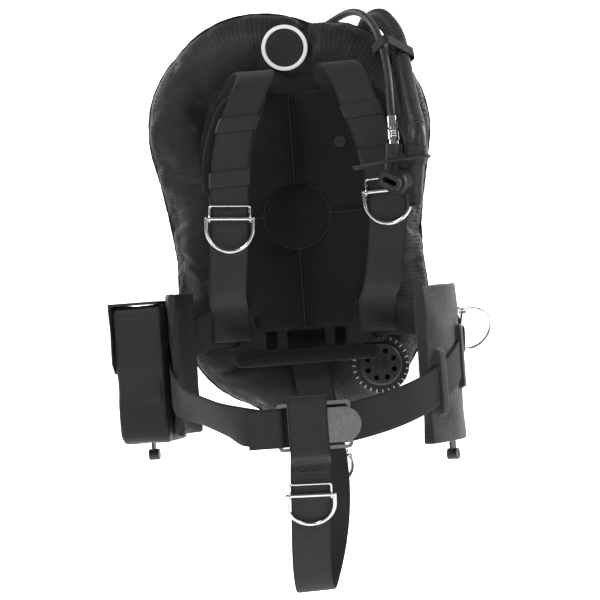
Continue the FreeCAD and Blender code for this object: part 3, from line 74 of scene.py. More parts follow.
def mesh_object(name, verts, faces, material, smooth=True, uvs=None):
    """An object from point and face lists; uvs holds one pair per vertex."""
    mesh = bpy.data.meshes.new(name)
    mesh.from_pydata([tuple(v) for v in verts], [], [tuple(f) for f in faces])
    mesh.update()
    if uvs is not None:
        layer = mesh.uv_layers.new(name="UVMap")
        for loop in mesh.loops:
            layer.data[loop.index].uv = uvs[loop.vertex_index]
    if smooth:
        mesh.polygons.foreach_set("use_smooth", [True] * len(mesh.polygons))
    obj = link(bpy.data.objects.new(name, mesh))
    mesh.materials.append(material)
    return obj


def outward(obj):
    """Makes the face normals consistent and outward."""
    bm = bmesh.new()
    bm.from_mesh(obj.data)
    bmesh.ops.recalc_face_normals(bm, faces=bm.faces)
    bm.to_mesh(obj.data)
    bm.free()
    return obj


def corner_box(name):
    """The lowest and highest corner of a CAD node, shown or not."""
    places = np.array([v.co for v in NODES[name].data.vertices])
    return Vector(places.min(axis=0)), Vector(places.max(axis=0))


def grow(obj, body="pack"):
    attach(obj, body)
    return obj


# ---------------------------------------------------------------- materials
def new_material(name, base, rough, metal=0.0, spec=0.5):
    mat = bpy.data.materials.new(name)
    mat.use_nodes = True
    tree = mat.node_tree
    bsdf = tree.nodes["Principled BSDF"]
    bsdf.inputs["Base Color"].default_value = (*base, 1)
    bsdf.inputs["Roughness"].default_value = rough
    bsdf.inputs["Metallic"].default_value = metal
    bsdf.inputs["Specular IOR Level"].default_value = spec
    return mat, tree, bsdf


def node(tree, kind, **inputs):
    made = tree.nodes.new(kind)
    for key, value in inputs.items():
        key = key.replace("_", " ")
        if key in made.inputs:
            made.inputs[key].default_value = value
        else:
            setattr(made, key.replace(" ", "_"), value)
    return made


def math_node(tree, operation, a, b=None):
    made = tree.nodes.new("ShaderNodeMath")
    made.operation = operation
    for socket, value in zip(made.inputs, (a, b)):
        if value is None:
            continue
        if isinstance(value, (int, float)):
            socket.default_value = value
        else:
            tree.links.new(value, socket)
    return made.outputs[0]


def mix_color(tree, factor, a, b):
    made = tree.nodes.new("ShaderNodeMix")
    made.data_type = "RGBA"
    for index, value in ((0, factor), (6, a), (7, b)):
        socket = made.inputs[index]
        if isinstance(value, (int, float)):
            socket.default_value = value
        elif isinstance(value, tuple):
            socket.default_value = (*value, 1)
        else:
            tree.links.new(value, socket)
    return made.outputs[2]


def add_bump(tree, bsdf, height, strength, distance, before=None):
    bump = node(tree, "ShaderNodeBump", Strength=strength, Distance=distance)
    tree.links.new(height, bump.inputs["Height"])
    if before is not None:
        tree.links.new(before, bump.inputs["Normal"])
    tree.links.new(bump.outputs[0], bsdf.inputs["Normal"])
    return bump.outputs[0]


def cloth_axes(tree, by_place):
    """Across and along the cloth: from its UVs, or from its place for pieces without them."""
    coord = tree.nodes.new("ShaderNodeTexCoord")
    split = tree.nodes.new("ShaderNodeSeparateXYZ")
    tree.links.new(coord.outputs["Object" if by_place else "UV"], split.inputs[0])
    if by_place:
        depth = math_node(tree, "MULTIPLY", split.outputs[1], 0.8)
        return math_node(tree, "ADD", split.outputs[0], depth), split.outputs[2]
    return split.outputs[0], split.outputs[1]


def wave(tree, value, period, phase=0.0):
    """0 to 1 and back, once per period (in the units of value)."""
    scaled = math_node(tree, "MULTIPLY", value, 2 * math.pi / period)
    shifted = math_node(tree, "ADD", scaled, phase)
    half = math_node(tree, "MULTIPLY", math_node(tree, "SINE", shifted), 0.5)
    return math_node(tree, "ADD", half, 0.5)


def object_noise(tree, scale, detail=3.0, rough=0.55):
    coord = tree.nodes.new("ShaderNodeTexCoord")
    noise = node(tree, "ShaderNodeTexNoise", Scale=scale, Detail=detail, Roughness=rough)
    tree.links.new(coord.outputs["Object"], noise.inputs["Vector"])
    return noise.outputs["Fac"]


def webbing_material(name, base, by_place=False):
    """Woven nylon: fine ribs across with painted highlight on their tops and painted shade between them, and
    a darker band along both edges.
    """
    mat, tree, bsdf = new_material(name, base, 0.72, spec=0.12)
    u, v = cloth_axes(tree, by_place)
    ribs = wave(tree, v, 0.0026)
    yarns = wave(tree, u, 0.0012)
    skew = wave(tree, math_node(tree, "ADD", v, math_node(tree, "MULTIPLY", u, 0.6)), 0.0019)
    height = math_node(tree, "MULTIPLY", ribs, 0.6)
    height = math_node(tree, "ADD", height, math_node(tree, "MULTIPLY", yarns, 0.25))
    height = math_node(tree, "ADD", height, math_node(tree, "MULTIPLY", skew, 0.15))
    wear = object_noise(tree, 60, 5)
    # painted light: the weave's height makes the rib tops lighter (painted highlight) and the grooves darker
    # (painted shade)
    light = math_node(tree, "MULTIPLY", height, 0.75)
    shade = mix_color(tree, light, tuple(c * 0.55 for c in base), tuple(c * 1.75 for c in base))
    shade = mix_color(tree, math_node(tree, "MULTIPLY", wear, 0.35), shade, tuple(c * 2.0 for c in base))
    if not by_place:
        # both edges are coloured darker, over the rounded selvedge and a millimetre further in
        edge = math_node(tree, "GREATER_THAN", math_node(tree, "ABSOLUTE", u), 0.0228)
        shade = mix_color(tree, math_node(tree, "MULTIPLY", edge, 0.45), shade, tuple(c * 0.5 for c in base))
    tree.links.new(shade, bsdf.inputs["Base Color"])
    bsdf.inputs["Sheen Weight"].default_value = 0.06
    bsdf.inputs["Sheen Roughness"].default_value = 0.45
    add_bump(tree, bsdf, height, 0.7, 0.0005)
    return mat


def nylon_material(name, base, ribbed=0.0, gloss=0.5, by_place=False):
    """Coated pack cloth: a fine plain weave with slight creases, its raised threads given a painted highlight
    and the gaps between them painted shade; ribbed adds strong cross threads.
    """
    mat, tree, bsdf = new_material(name, base, gloss, spec=0.24)
    u, v = cloth_axes(tree, by_place)
    warp = wave(tree, u, 0.0011)
    weft = wave(tree, v, 0.0011)
    weave = math_node(tree, "MULTIPLY", warp, weft)
    height = math_node(tree, "MULTIPLY", weave, 0.5)
    if ribbed:
        thread = math_node(tree, "POWER", wave(tree, v, 0.0052), 3.0)
        cross = math_node(tree, "POWER", wave(tree, u, 0.0052), 6.0)
        grid = math_node(tree, "MAXIMUM", thread, math_node(tree, "MULTIPLY", cross, 0.35))
        height = math_node(tree, "ADD", height, math_node(tree, "MULTIPLY", grid, ribbed))
    blotch = object_noise(tree, 14, 4)
    # painted light: raised weave threads get a painted highlight and the hollows between them painted shade
    shade = mix_color(tree, height, tuple(c * 0.7 for c in base), tuple(c * 1.9 for c in base))
    shade = mix_color(tree, math_node(tree, "MULTIPLY", blotch, 0.4), shade, tuple(c * 1.5 for c in base))
    tree.links.new(shade, bsdf.inputs["Base Color"])
    fine = object_noise(tree, 90, 4)
    rough = math_node(tree, "ADD", math_node(tree, "MULTIPLY", fine, 0.22), gloss - 0.1)
    tree.links.new(rough, bsdf.inputs["Roughness"])
    creases = object_noise(tree, 26, 6, 0.62)
    first = node(tree, "ShaderNodeBump", Strength=0.35, Distance=0.004)
    tree.links.new(creases, first.inputs["Height"])
    add_bump(tree, bsdf, height, 0.6, 0.00045, first.outputs[0])
    bsdf.inputs["Sheen Weight"].default_value = 0.04
    return mat


def mesh_cloth_material(name, base, by_place=True):
    """Spacer mesh of the pads: small raised dots on a soft dark cloth, with a painted highlight on the dots
    and painted shade between them.
    """
    mat, tree, bsdf = new_material(name, base, 0.85, spec=0.08)
    u, v = cloth_axes(tree, by_place)
    dots = math_node(tree, "MULTIPLY", wave(tree, u, 0.0024), wave(tree, v, 0.0024))
    # painted light: the raised dots are painted lighter and the cloth between them painted darker
    shade = mix_color(tree, dots, tuple(c * 0.45 for c in base), tuple(c * 2.2 for c in base))
    tree.links.new(shade, bsdf.inputs["Base Color"])
    bsdf.inputs["Sheen Weight"].default_value = 0.08
    add_bump(tree, bsdf, dots, 0.7, 0.0005)
    return mat


def metal_material(name, base, rough):
    """Polished steel with faint stains and fine handling marks."""
    mat, tree, bsdf = new_material(name, base, rough, metal=1.0)
    grain = object_noise(tree, 160, 3)
    value = math_node(tree, "ADD", math_node(tree, "MULTIPLY", grain, 0.10), rough - 0.05)
    tree.links.new(value, bsdf.inputs["Roughness"])
    stain = object_noise(tree, 35, 4)
    shade = mix_color(tree, math_node(tree, "MULTIPLY", stain, 0.35), base, tuple(c * 0.72 for c in base))
    tree.links.new(shade, bsdf.inputs["Base Color"])
    add_bump(tree, bsdf, grain, 0.05, 0.0001)
    return mat


def moulded_material(name, base, rough, texture=0.25, spec=0.3):
    """Moulded plastic or rubber with a fine grain and a little dust."""
    mat, tree, bsdf = new_material(name, base, rough, spec=spec)
    grain = object_noise(tree, 900, 2)
    dust = object_noise(tree, 40, 5)
    dusty = math_node(tree, "MULTIPLY", dust, 0.45)
    shade = mix_color(tree, dusty, base, tuple(c * 2.0 + 0.004 for c in base))
    tree.links.new(shade, bsdf.inputs["Base Color"])
    value = math_node(tree, "ADD", math_node(tree, "MULTIPLY", dust, 0.25), rough - 0.1)
    tree.links.new(value, bsdf.inputs["Roughness"])
    add_bump(tree, bsdf, grain, texture, 0.0002)
    return mat


WEBBING = webbing_material("webbing", (0.020, 0.020, 0.022))
CAD_WEBBING = webbing_material("webbing_small", (0.020, 0.020, 0.022), by_place=True)
WING = nylon_material("wing_nylon", (0.011, 0.011, 0.0125), 0.0, 0.50)
WING_RIB = nylon_material("wing_ripstop", (0.012, 0.012, 0.0135), 1.0, 0.48)
CLOTH = nylon_material("pack_cloth", (0.010, 0.010, 0.0115), 0.0, 0.55, by_place=True)
POCKET = nylon_material("pocket_nylon", (0.012, 0.012, 0.0135), 0.35, 0.52, by_place=True)
PAD = mesh_cloth_material("pad_cloth", (0.011, 0.011, 0.012))
BINDING = webbing_material("binding_tape", (0.009, 0.009, 0.010), by_place=True)
STEEL = metal_material("stainless", (0.55, 0.55, 0.56), 0.22)
CHROME = metal_material("chrome", (0.66, 0.66, 0.68), 0.14)
PLATE = moulded_material("plate_black", (0.010, 0.010, 0.011), 0.18, 0.1, 0.6)
PLASTIC = moulded_material("moulded", (0.016, 0.016, 0.017), 0.42)
RUBBER = moulded_material("rubber", (0.013, 0.013, 0.014), 0.52)
HOSE = moulded_material("hose_rubber", (0.015, 0.015, 0.016), 0.40)
BADGE = moulded_material("badge_dark", (0.014, 0.014, 0.015), 0.35)
BADGE_RIM = moulded_material("badge_rim", (0.62, 0.62, 0.62), 0.45, 0.1)
THREAD = moulded_material("thread", (0.035, 0.035, 0.037), 0.7)
MARK = moulded_material("white_mark", (0.42, 0.42, 0.42), 0.6, 0.1)

SLOT_MATERIALS = {
    "plate_black": PLATE, "wing_nylon": CLOTH, "webbing": CAD_WEBBING, "pad_foam": PAD, "steel": STEEL,
    "chrome": CHROME, "moulded": PLASTIC, "rubber": RUBBER, "badge": BADGE,
}


def dress_cad_nodes():
    """Every CAD node gets its slot's material and smooth shading with crisp edges."""
    slots = {s["node"]: s["material_slot"] for s in frame["record"]["subparts"]}
    for name, obj in NODES.items():
        obj.data.materials.clear()
        obj.data.materials.append(PLASTIC if name == "pad_screws" else SLOT_MATERIALS[slots[name]])
        for poly in obj.data.polygons:
            poly.use_smooth = True
        obj.data.set_sharp_from_angle(angle=math.radians(32))


dress_cad_nodes()


# ---------------------------------------------------------------- straps read from the frame
def sharp_chains(obj):
    """The long edges of a strap: lists of points from one end to the other, or closed loops."""
    bm = bmesh.new()
    bm.from_mesh(obj.data)
    bmesh.ops.remove_doubles(bm, verts=bm.verts, dist=2e-5)
    sharp = {}
    for edge in bm.edges:
        if len(edge.link_faces) == 2 and edge.calc_face_angle(0) > math.radians(50):
            for a, b in ((edge.verts[0], edge.verts[1]), (edge.verts[1], edge.verts[0])):
                sharp.setdefault(a.index, set()).add(b.index)
    bm.verts.ensure_lookup_table()
    corners = [v for v, near in sharp.items() if len(near) == 3]
    corner_set = set(corners)
    chains, seen = [], set()
    for start in corners:
        for step in sharp[start]:
            if step in corner_set or (start, step) in seen:
                continue
            chain = [start, step]
            while chain[-1] not in corner_set:
                onward = [n for n in sharp[chain[-1]] if n != chain[-2]]
                if len(onward) != 1:
                    break
                chain.append(onward[0])
            seen.add((start, step))
            seen.add((chain[-1], chain[-2]))
            chains.append([bm.verts[i].co.copy() for i in chain])
    if not corners:
        left = set(sharp)
        while left:
            start = left.pop()
            chain = [start]
            while True:
                onward = [n for n in sharp[chain[-1]] if n in left]
                if not onward:
                    break
                left.discard(onward[0])
                chain.append(onward[0])
            chains.append([bm.verts[i].co.copy() for i in chain] + [bm.verts[start].co.copy()])
    bm.free()
    return [part for chain in chains for part in split_at_turns(chain)]


def split_at_turns(chain, window=0.0022):
    """Cuts a line of points at its corners, looking a little way to both sides of each point."""
    reach = np.concatenate([[0], np.cumsum([(b - a).length for a, b in zip(chain, chain[1:])])])
    bends = []
    for k, here in enumerate(reach):
        before = next((i for i in range(k, -1, -1) if here - reach[i] >= window), 0)
        after = next((i for i in range(k, len(chain)) if reach[i] - here >= window), len(chain) - 1)
        inner = 0 < k < len(chain) - 1 and before < k < after
        bends.append((chain[k] - chain[before]).angle(chain[after] - chain[k], 0) if inner else 0)
    parts, start = [], 0
    for k, bend in enumerate(bends):
        beside = [b for b, at in zip(bends, reach) if abs(at - reach[k]) < 2 * window]
        if bend > math.radians(48) and bend >= max(beside) and reach[k] - reach[start] > window:
            parts.append(chain[start:k + 1])
            start = k
    parts.append(chain[start:])
    return parts


def resample(points, count):
    points = np.array([tuple(p) for p in points])
    steps = np.linalg.norm(np.diff(points, axis=0), axis=1)
    along = np.concatenate([[0], np.cumsum(steps)])
    target = np.linspace(0, along[-1], count)
    return np.stack([np.interp(target, along, points[:, k]) for k in range(3)], axis=1), along[-1]


class Strip:
    """A strap between two edge lines: its length, width and outer side at every point."""

    def __init__(self, left, right):
        self.left, self.right = np.array(left), np.array(right)
        self.middle = (self.left + self.right) / 2
        steps = np.linalg.norm(np.diff(self.middle, axis=0), axis=1)
        self.along = np.concatenate([[0], np.cumsum(steps)])
        self.length = self.along[-1]
        across = self.right - self.left
        self.across = across / np.linalg.norm(across, axis=1)[:, None]
        tangent = np.gradient(self.middle, axis=0)
        self.tangent = tangent / np.linalg.norm(tangent, axis=1)[:, None]
        normal = np.cross(self.tangent, self.across)
        self.normal = normal / np.linalg.norm(normal, axis=1)[:, None]

    def face(self, inside):
        """Turns the outer side away from a point inside the harness."""
        mid = len(self.middle) // 2
        if np.dot(self.middle[mid] - np.array(inside), self.normal[mid]) < 0:
            self.normal, self.across = -self.normal, -self.across
        return self

    def at(self, share):
        """Point, tangent, across and normal at a share of the length."""
        x = min(max(share, 0), 1) * self.length
        pick = lambda rows: np.array([np.interp(x, self.along, rows[:, k]) for k in range(3)])
        unit = lambda v: v / np.linalg.norm(v)
        return pick(self.middle), unit(pick(self.tangent)), unit(pick(self.across)), unit(pick(self.normal))

    def spot(self, s, u, off=0.0):
        """A point s metres along, u metres across and off metres outward."""
        point, _, across, normal = self.at(s / self.length)
        return point + across * u + normal * off


def strip_from_node(name, start_near, spacing=0.0025):
    """Reads a strap's four long edges from its CAD node and pairs them."""
    reach = lambda c: sum((b - a).length for a, b in zip(c, c[1:]))
    chains = sorted(sharp_chains(NODES[name]), key=reach, reverse=True)[:4]
    for c in chains:
        if (c[0] - Vector(start_near)).length > (c[-1] - Vector(start_near)).length:
            c.reverse()
    count = max(24, int(reach(chains[0]) / spacing))
    lines = [resample(c, count)[0] for c in chains]
    gaps = sorted((np.linalg.norm(lines[k][0] - lines[0][0]), k) for k in (1, 2, 3))
    partner, facing, far = gaps[0][1], gaps[1][1], gaps[2][1]
    return Strip((lines[0] + lines[partner]) / 2, (lines[facing] + lines[far]) / 2)


def round_corners(points, radius, closed=False, steps=7):
    """The points of a line whose corners are arcs of one radius, or less where a run is short."""
    out = [] if closed else [points[0]]
    trios = list(zip(points, points[1:], points[2:]))
    if closed:
        trios = list(zip(points[-1:] + points[:-1], points, points[1:] + points[:1]))
    for before, corner, after in trios:
        da, db = (corner - before).normalized(), (after - corner).normalized()
        turn = da.angle(db, 0)
        if turn < 1e-3:
            out.append(corner)
            continue
        run = min(radius * math.tan(turn / 2), 0.49 * min((corner - before).length, (after - corner).length))
        r = run / math.tan(turn / 2)
        start = corner - da * run
        inward = (db - da * da.dot(db)).normalized()
        centre = start + inward * r
        for k in range(steps + 1):
            a = turn * k / steps
            out.append(centre - inward * r * math.cos(a) + da * r * math.sin(a))
    if not closed:
        out.append(points[-1])
    return out


def build_ribbon(name, strip, width, thick, material, start=0.0, end=1.0, offset=0.0, columns=14,
                 ripple=0.0005, rim=0.0016, taper=None, crown=0.0, aside=0.0, body="pack"):
    """A webbing mesh with rounded selvedges, a faint ripple and UVs in metres."""
    rows = max(6, int((end - start) * strip.length / 0.003))
    half, t = width / 2, thick / 2
    us = [-half + width * k / columns for k in range(columns + 1)]
    verts, uvs, faces = [], [], []
    phase = random.uniform(0, 6)
    for i in range(rows + 1):
        share = start + (end - start) * i / rows
        point, _, across, normal = strip.at(share)
        s = share * strip.length
        fade = min(1.0, i / 6, (rows - i) / 6)
        scale = taper(i / rows) if taper else 1.0
        for side in (1, -1):
            for u in us if side == 1 else us[::-1]:
                over = max(0.0, (abs(u) - (half - rim)) / rim)
                lift = t * (1 - 0.6 * over * over) * (1 + crown * (1 - (u / half) ** 2))
                wavy = 0.5 * math.sin(s * 38 + phase + u * 30) + 0.3 * math.sin(s * 91 + u * 55)
                wavy *= ripple * fade
                h = side * lift + wavy + offset
                verts.append(point + across * (u * scale + aside) + normal * h)
                uvs.append((u, s))
    n = 2 * (columns + 1)
    for i in range(rows):
        for k in range(n):
            a, b = i * n + k, i * n + (k + 1) % n
            faces.append((a, b, b + n, a + n))
    faces.append(tuple(range(n - 1, -1, -1)))
    faces.append(tuple(rows * n + k for k in range(n)))
    return grow(outward(mesh_object(name, verts, faces, material, uvs=uvs)), body)


def stitch_rows(name, ribbon, rows, material, off, size=0.0032, gap=0.0012, radius=0.00042):
    """Thread stitches lying on a strap: rows are lines ((s0, u0), (s1, u1)) in metres along and across."""
    verts, faces = [], []
    for (s0, u0), (s1, u1) in rows:
        length = math.hypot(s1 - s0, u1 - u0)
        count = max(1, int(length / (size + gap)))
        for k in range(count):
            a, b = (k + 0.15) / count, (k + 0.85) / count
            p = ribbon.spot(s0 + (s1 - s0) * a, u0 + (u1 - u0) * a, off)
            q = ribbon.spot(s0 + (s1 - s0) * b, u0 + (u1 - u0) * b, off)
            add_capsule(verts, faces, Vector(p), Vector(q), radius)
    return grow(mesh_object(name, verts, faces, material))


def add_capsule(verts, faces, a, b, r, sides=6):
    """A short thread between two points, tapered at both ends."""
    axis = (b - a).normalized()
    side = axis.orthogonal().normalized()
    other = axis.cross(side)
    base = len(verts)
    for share, scale in ((0.0, 0.35), (0.2, 1.0), (0.8, 1.0), (1.0, 0.35)):
        centre = a + (b - a) * share
        for k in range(sides):
            turn = 2 * math.pi * k / sides
            verts.append(centre + (side * math.cos(turn) + other * math.sin(turn)) * r * scale)
    for ring in range(3):
        for k in range(sides):
            i, j = base + ring * sides + k, base + ring * sides + (k + 1) % sides
            faces.append((i, j, j + sides, i + sides))
    faces.append(tuple(base + k for k in range(sides))[::-1])
    faces.append(tuple(base + 3 * sides + k for k in range(sides)))


WIDTH, THICK = 0.0508, 0.0026
INSIDE = (0, -0.13, -0.1)
STRAPS = {}
STRAP_NODES = (
    "shoulder_strap_right", "shoulder_strap_left", "waist_strap_left", "waist_strap_right", "crotch_strap",
)
for strap in STRAP_NODES:
    beginning = (0, 0, 0.1) if "shoulder" in strap else (0, 0, -0.15)
    STRAPS[strap] = strip_from_node(strap, beginning).face((0, -0.06, 0) if "shoulder" in strap else INSIDE)
    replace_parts(build_ribbon(strap + "_webbing", STRAPS[strap], WIDTH, THICK, WEBBING), strap)


# ---------------------------------------------------------------- lines and sweeps
def rounded_route(points, share=0.45, step=0.003):
    """Straight runs joined by tangent arcs, as points about one step apart, in metres."""
    pts = [Vector(p) for p in points]
    line = [pts[0]]
    for before, corner, after in zip(pts, pts[1:], pts[2:]):
        a, b = (corner - before), (after - corner)
        run = share * min(a.length, b.length)
        da, db = a.normalized(), b.normalized()
        turn = da.angle(db)
        start = corner - da * run
        if turn < 1e-4:
            line.append(corner)
            continue
        radius = run / math.tan(turn / 2)
        inward = (db - da * da.dot(db)).normalized()
        centre = start + inward * radius
        count = max(4, int(radius * turn / step))
        for k in range(count + 1):
            angle = turn * k / count
            line.append(centre - inward * radius * math.cos(angle) + da * radius * math.sin(angle))
    line.append(pts[-1])
    total = sum((q - p).length for p, q in zip(line, line[1:]))
    return resample(line, max(8, int(total / step)))[0], total


def carried_frames(line):
    """A side direction at every point of a line that doesn't twist along it."""
    tangent = np.gradient(line, axis=0)
    tangent /= np.linalg.norm(tangent, axis=1)[:, None]
    side = Vector(tangent[0]).orthogonal().normalized()
    sides = []
    for t in tangent:
        t = Vector(t)
        side = (side - t * side.dot(t)).normalized()
        sides.append(side.copy())
    return tangent, sides


def sweep(name, line, radius_at, material, body="pack", sides=28):
    """A round tube along a line; radius_at gives its radius at each length."""
    line = np.array([tuple(p) for p in line])
    tangent, side = carried_frames(line)
    steps = np.concatenate([[0], np.cumsum(np.linalg.norm(np.diff(line, axis=0), axis=1))])
    verts, faces, uvs = [], [], []
    for point, t, s, at in zip(line, tangent, side, steps):
        other = Vector(t).cross(s)
        r = radius_at(at, steps[-1])
        for k in range(sides):
            turn = 2 * math.pi * k / sides
            verts.append(Vector(point) + (s * math.cos(turn) + other * math.sin(turn)) * r)
            uvs.append((turn * 0.0135, at))
    for i in range(len(line) - 1):
        for k in range(sides):
            a, b = i * sides + k, i * sides + (k + 1) % sides
            faces.append((a, b, b + sides, a + sides))
    faces.append(tuple(range(sides))[::-1])
    faces.append(tuple((len(line) - 1) * sides + k for k in range(sides)))
    return grow(outward(mesh_object(name, verts, faces, material, uvs=uvs)), body)


def thread_line(name, points, material=None, radius=0.0004, stitch=0.0034, gap=0.0016, body="pack"):
    """A row of stitches along a line of points."""
    total = sum((Vector(b) - Vector(a)).length for a, b in zip(points, points[1:]))
    count = max(2, int(total / (stitch + gap)))
    line, _ = resample(points, count * 4 + 1)
    verts, faces = [], []
    for k in range(count):
        add_capsule(verts, faces, Vector(line[4 * k]), Vector(line[4 * k + 3]), radius)
    return grow(mesh_object(name, verts, faces, material or THREAD), body)


# ---------------------------------------------------------------- the wing
WING_BOX = corner_box("wing_shell")
WING_CORNERS = [(-0.030, 0.119, 0.170), (0.026, 0.110, 0.171), (0.0, -0.112, 0.178)]
TUBE_HALF = 0.050
HALF_CLOTH = 0.0745


def corner_route(circles):
    """Once clockwise round the outside of circles: gives a point and its outward direction at each share."""
    nexts = circles[1:] + circles[:1]
    outs = []
    for (x0, z0, r0), (x1, z1, r1) in zip(circles, nexts):
        outs.append(math.atan2(z1 - z0, x1 - x0) + math.acos((r0 - r1) / math.hypot(x1 - x0, z1 - z0)))
    way = lambda angle: Vector((math.cos(angle), 0, math.sin(angle)))
    stretches = []
    for (x, z, r), (x1, z1, r1), before, out in zip(circles, nexts, outs[-1:] + outs[:-1], outs):
        turn = (before - out) % (2 * math.pi)
        centre, following = Vector((x, 0, z)), Vector((x1, 0, z1))
        arc = lambda t, c=centre, r=r, b=before, turn=turn: (c + way(b - turn * t) * r, way(b - turn * t))
        a, b = centre + way(out) * r, following + way(out) * r1
        run = lambda t, a=a, b=b, out=out: (a.lerp(b, t), way(out))
        stretches += [(arc, r * turn), (run, (b - a).length)]
    total = sum(length for _, length in stretches)

    def at(share):
        x = share * total
        for place, length in stretches:
            if x <= length:
                return place(x / length)
            x -= length
        return stretches[-1][0](1.0)

    return at, total


wing_line, WING_GIRTH = corner_route([(x, z, r - TUBE_HALF) for x, z, r in WING_CORNERS])


def wing_pattern(around, across):
    """Two flat layers of cloth sewn together along both rims."""
    verts, uvs, faces = [], [], []
    middle_y = (WING_BOX[0].y + WING_BOX[1].y) / 2
    rows = []
    for i in range(around):
        middle, out = wing_line(i / around)
        loop = []
        for side in (-1, 1):
            line = range(across + 1) if side == -1 else range(across - 1, 0, -1)
            for j in line:
                w = -1 + 2 * j / across
                gather = 1 + 0.012 * math.sin(i * 0.9) + 0.01 * math.sin(i * 2.3 + 1)
                point = middle + out * w * HALF_CLOTH * gather
                y = middle_y + side * 0.012 * math.sqrt(max(0, 1 - w * w)) + rng.normal(0, 0.0004)
                loop.append(len(verts))
                verts.append(Vector((point.x, y, point.z)))
                uvs.append((w * HALF_CLOTH, i / around * WING_GIRTH))
        rows.append(loop)
    for i in range(around):
        a, b = rows[i], rows[(i + 1) % around]
        for k in range(len(a)):
            faces.append((a[k], b[k], b[(k + 1) % len(a)], a[(k + 1) % len(a)]))
    return verts, faces, uvs, rows


def inflate(obj, pressure, frames, stiff=18.0, bend=0.4):
    """Runs the cloth under pressure without gravity and keeps its result."""
    cloth = obj.modifiers.new("cloth", "CLOTH")
    settings = cloth.settings
    settings.quality = 6
    settings.mass = 0.18
    settings.tension_stiffness = stiff
    settings.compression_stiffness = stiff * 0.5
    settings.shear_stiffness = stiff * 0.4
    settings.bending_stiffness = bend
    settings.tension_damping = 12
    settings.air_damping = 4
    settings.use_pressure = True
    settings.uniform_pressure_force = pressure
    settings.effector_weights.gravity = 0
    cloth.point_cache.frame_start = 1
    cloth.point_cache.frame_end = frames
    scene = bpy.context.scene
    for step in range(1, frames + 1):
        scene.frame_set(step)
    shown = obj.evaluated_get(bpy.context.evaluated_depsgraph_get())
    count = len(obj.data.vertices)
    flat = np.empty(count * 3)
    shown.data.vertices.foreach_get("co", flat)
    obj.modifiers.remove(cloth)
    scene.frame_set(1)
    return flat.reshape(-1, 3)


def fit_into(points, low, high, inset=0.0):
    """Scales points so that they fill a box, less an inset on every side."""
    low, high = np.array(low) + inset, np.array(high) - inset
    p0, p1 = points.min(axis=0), points.max(axis=0)
    return low + (points - p0) / (p1 - p0) * (high - low)


def calm_rim(points, rows, across, reach=4):
    """Evens out the seam round the wing, so that its outline only waves a little."""
    rim = points[[loop[across] for loop in rows]]
    even = sum(np.roll(rim, k, axis=0) for k in range(-reach, reach + 1)) / (2 * reach + 1)
    shift = 0.75 * (even - rim)
    for k, loop in enumerate(rows):
        for d in range(-5, 6):
            points[loop[(across + d) % len(loop)]] += shift[k] * (1 - abs(d) / 6)
    return points


def make_wing():
    around, across = 230, 26
    verts, faces, uvs, rows = wing_pattern(around, across)
    obj = mesh_object("wing", verts, faces, WING)
    layer = obj.data.uv_layers.new(name="UVMap")
    for poly in obj.data.polygons:
        wrap = any(uvs[v][1] > 0.8 for v in poly.vertices) and any(uvs[v][1] < 0.2 for v in poly.vertices)
        for loop in poly.loop_indices:
            u, v = uvs[obj.data.loops[loop].vertex_index]
            layer.data[loop].uv = (u, v + WING_GIRTH if wrap and v < 0.2 else v)
    result = inflate(obj, 3.2, 26)
    result = calm_rim(result, rows, across)
    result = fit_into(result, WING_BOX[0], WING_BOX[1], 0.002)
    obj.data.vertices.foreach_set("co", result.ravel())
    obj.data.materials.append(WING_RIB)
    for poly in obj.data.polygons:
        centre = poly.center
        ribbed = centre.x > 0.02 or (centre.z > 0.16 and centre.x > -0.12)
        poly.material_index = 1 if ribbed else 0
    obj.data.update()
    outward(obj)
    smooth = obj.modifiers.new("smooth", "SUBSURF")
    smooth.levels = 1
    smooth.render_levels = 1
    grow(obj)
    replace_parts(obj, "wing_shell")
    rim = [Vector(result[loop[across]]) for loop in rows]
    rim = [p - wing_line(k / around)[1] * 0.0015 for k, p in enumerate(rim)]
    sweep("wing_piping", rim + rim[:1], lambda s, total: 0.0024, BINDING, sides=10)
    for row, name in ((across - 2, "wing_stitches_outer"), (across - 3, "wing_stitches_inner")):
        line = [Vector(result[loop[row]]) + Vector((0, -0.0006, 0)) for loop in rows]
        thread_line(name, line + line[:1], radius=0.0005, stitch=0.004, gap=0.002)


make_wing()


# ---------------------------------------------------------------- cushions and pouches
def piece_tree(name):
    """For finding the surface of a CAD node, shown or not."""
    mesh = NODES[name].data
    return BVHTree.FromPolygons([v.co for v in mesh.vertices], [p.vertices for p in mesh.polygons])


def remeshed_copy(name, source, voxel, material):
    """A closed copy of a CAD node with even faces."""
    obj = link(bpy.data.objects.new(name, NODES[source].data.copy()))
    obj.data.materials.clear()
    obj.data.materials.append(material)
    remesh = obj.modifiers.new("remesh", "REMESH")
    remesh.mode = "VOXEL"
    remesh.voxel_size = voxel
    remesh.adaptivity = 0.0
    soft = obj.modifiers.new("soft", "SMOOTH")
    soft.factor = 0.5
    soft.iterations = 2
    mesh = bpy.data.meshes.new_from_object(obj.evaluated_get(bpy.context.evaluated_depsgraph_get()))
    obj.modifiers.clear()
    obj.data = mesh
    mesh.polygons.foreach_set("use_smooth", [True] * len(mesh.polygons))
    return obj


def points_of(obj):
    flat = np.empty(len(obj.data.vertices) * 3)
    obj.data.vertices.foreach_get("co", flat)
    return flat.reshape(-1, 3)


def set_points(obj, points):
    obj.data.vertices.foreach_set("co", np.asarray(points, dtype=float).ravel())
    obj.data.update()


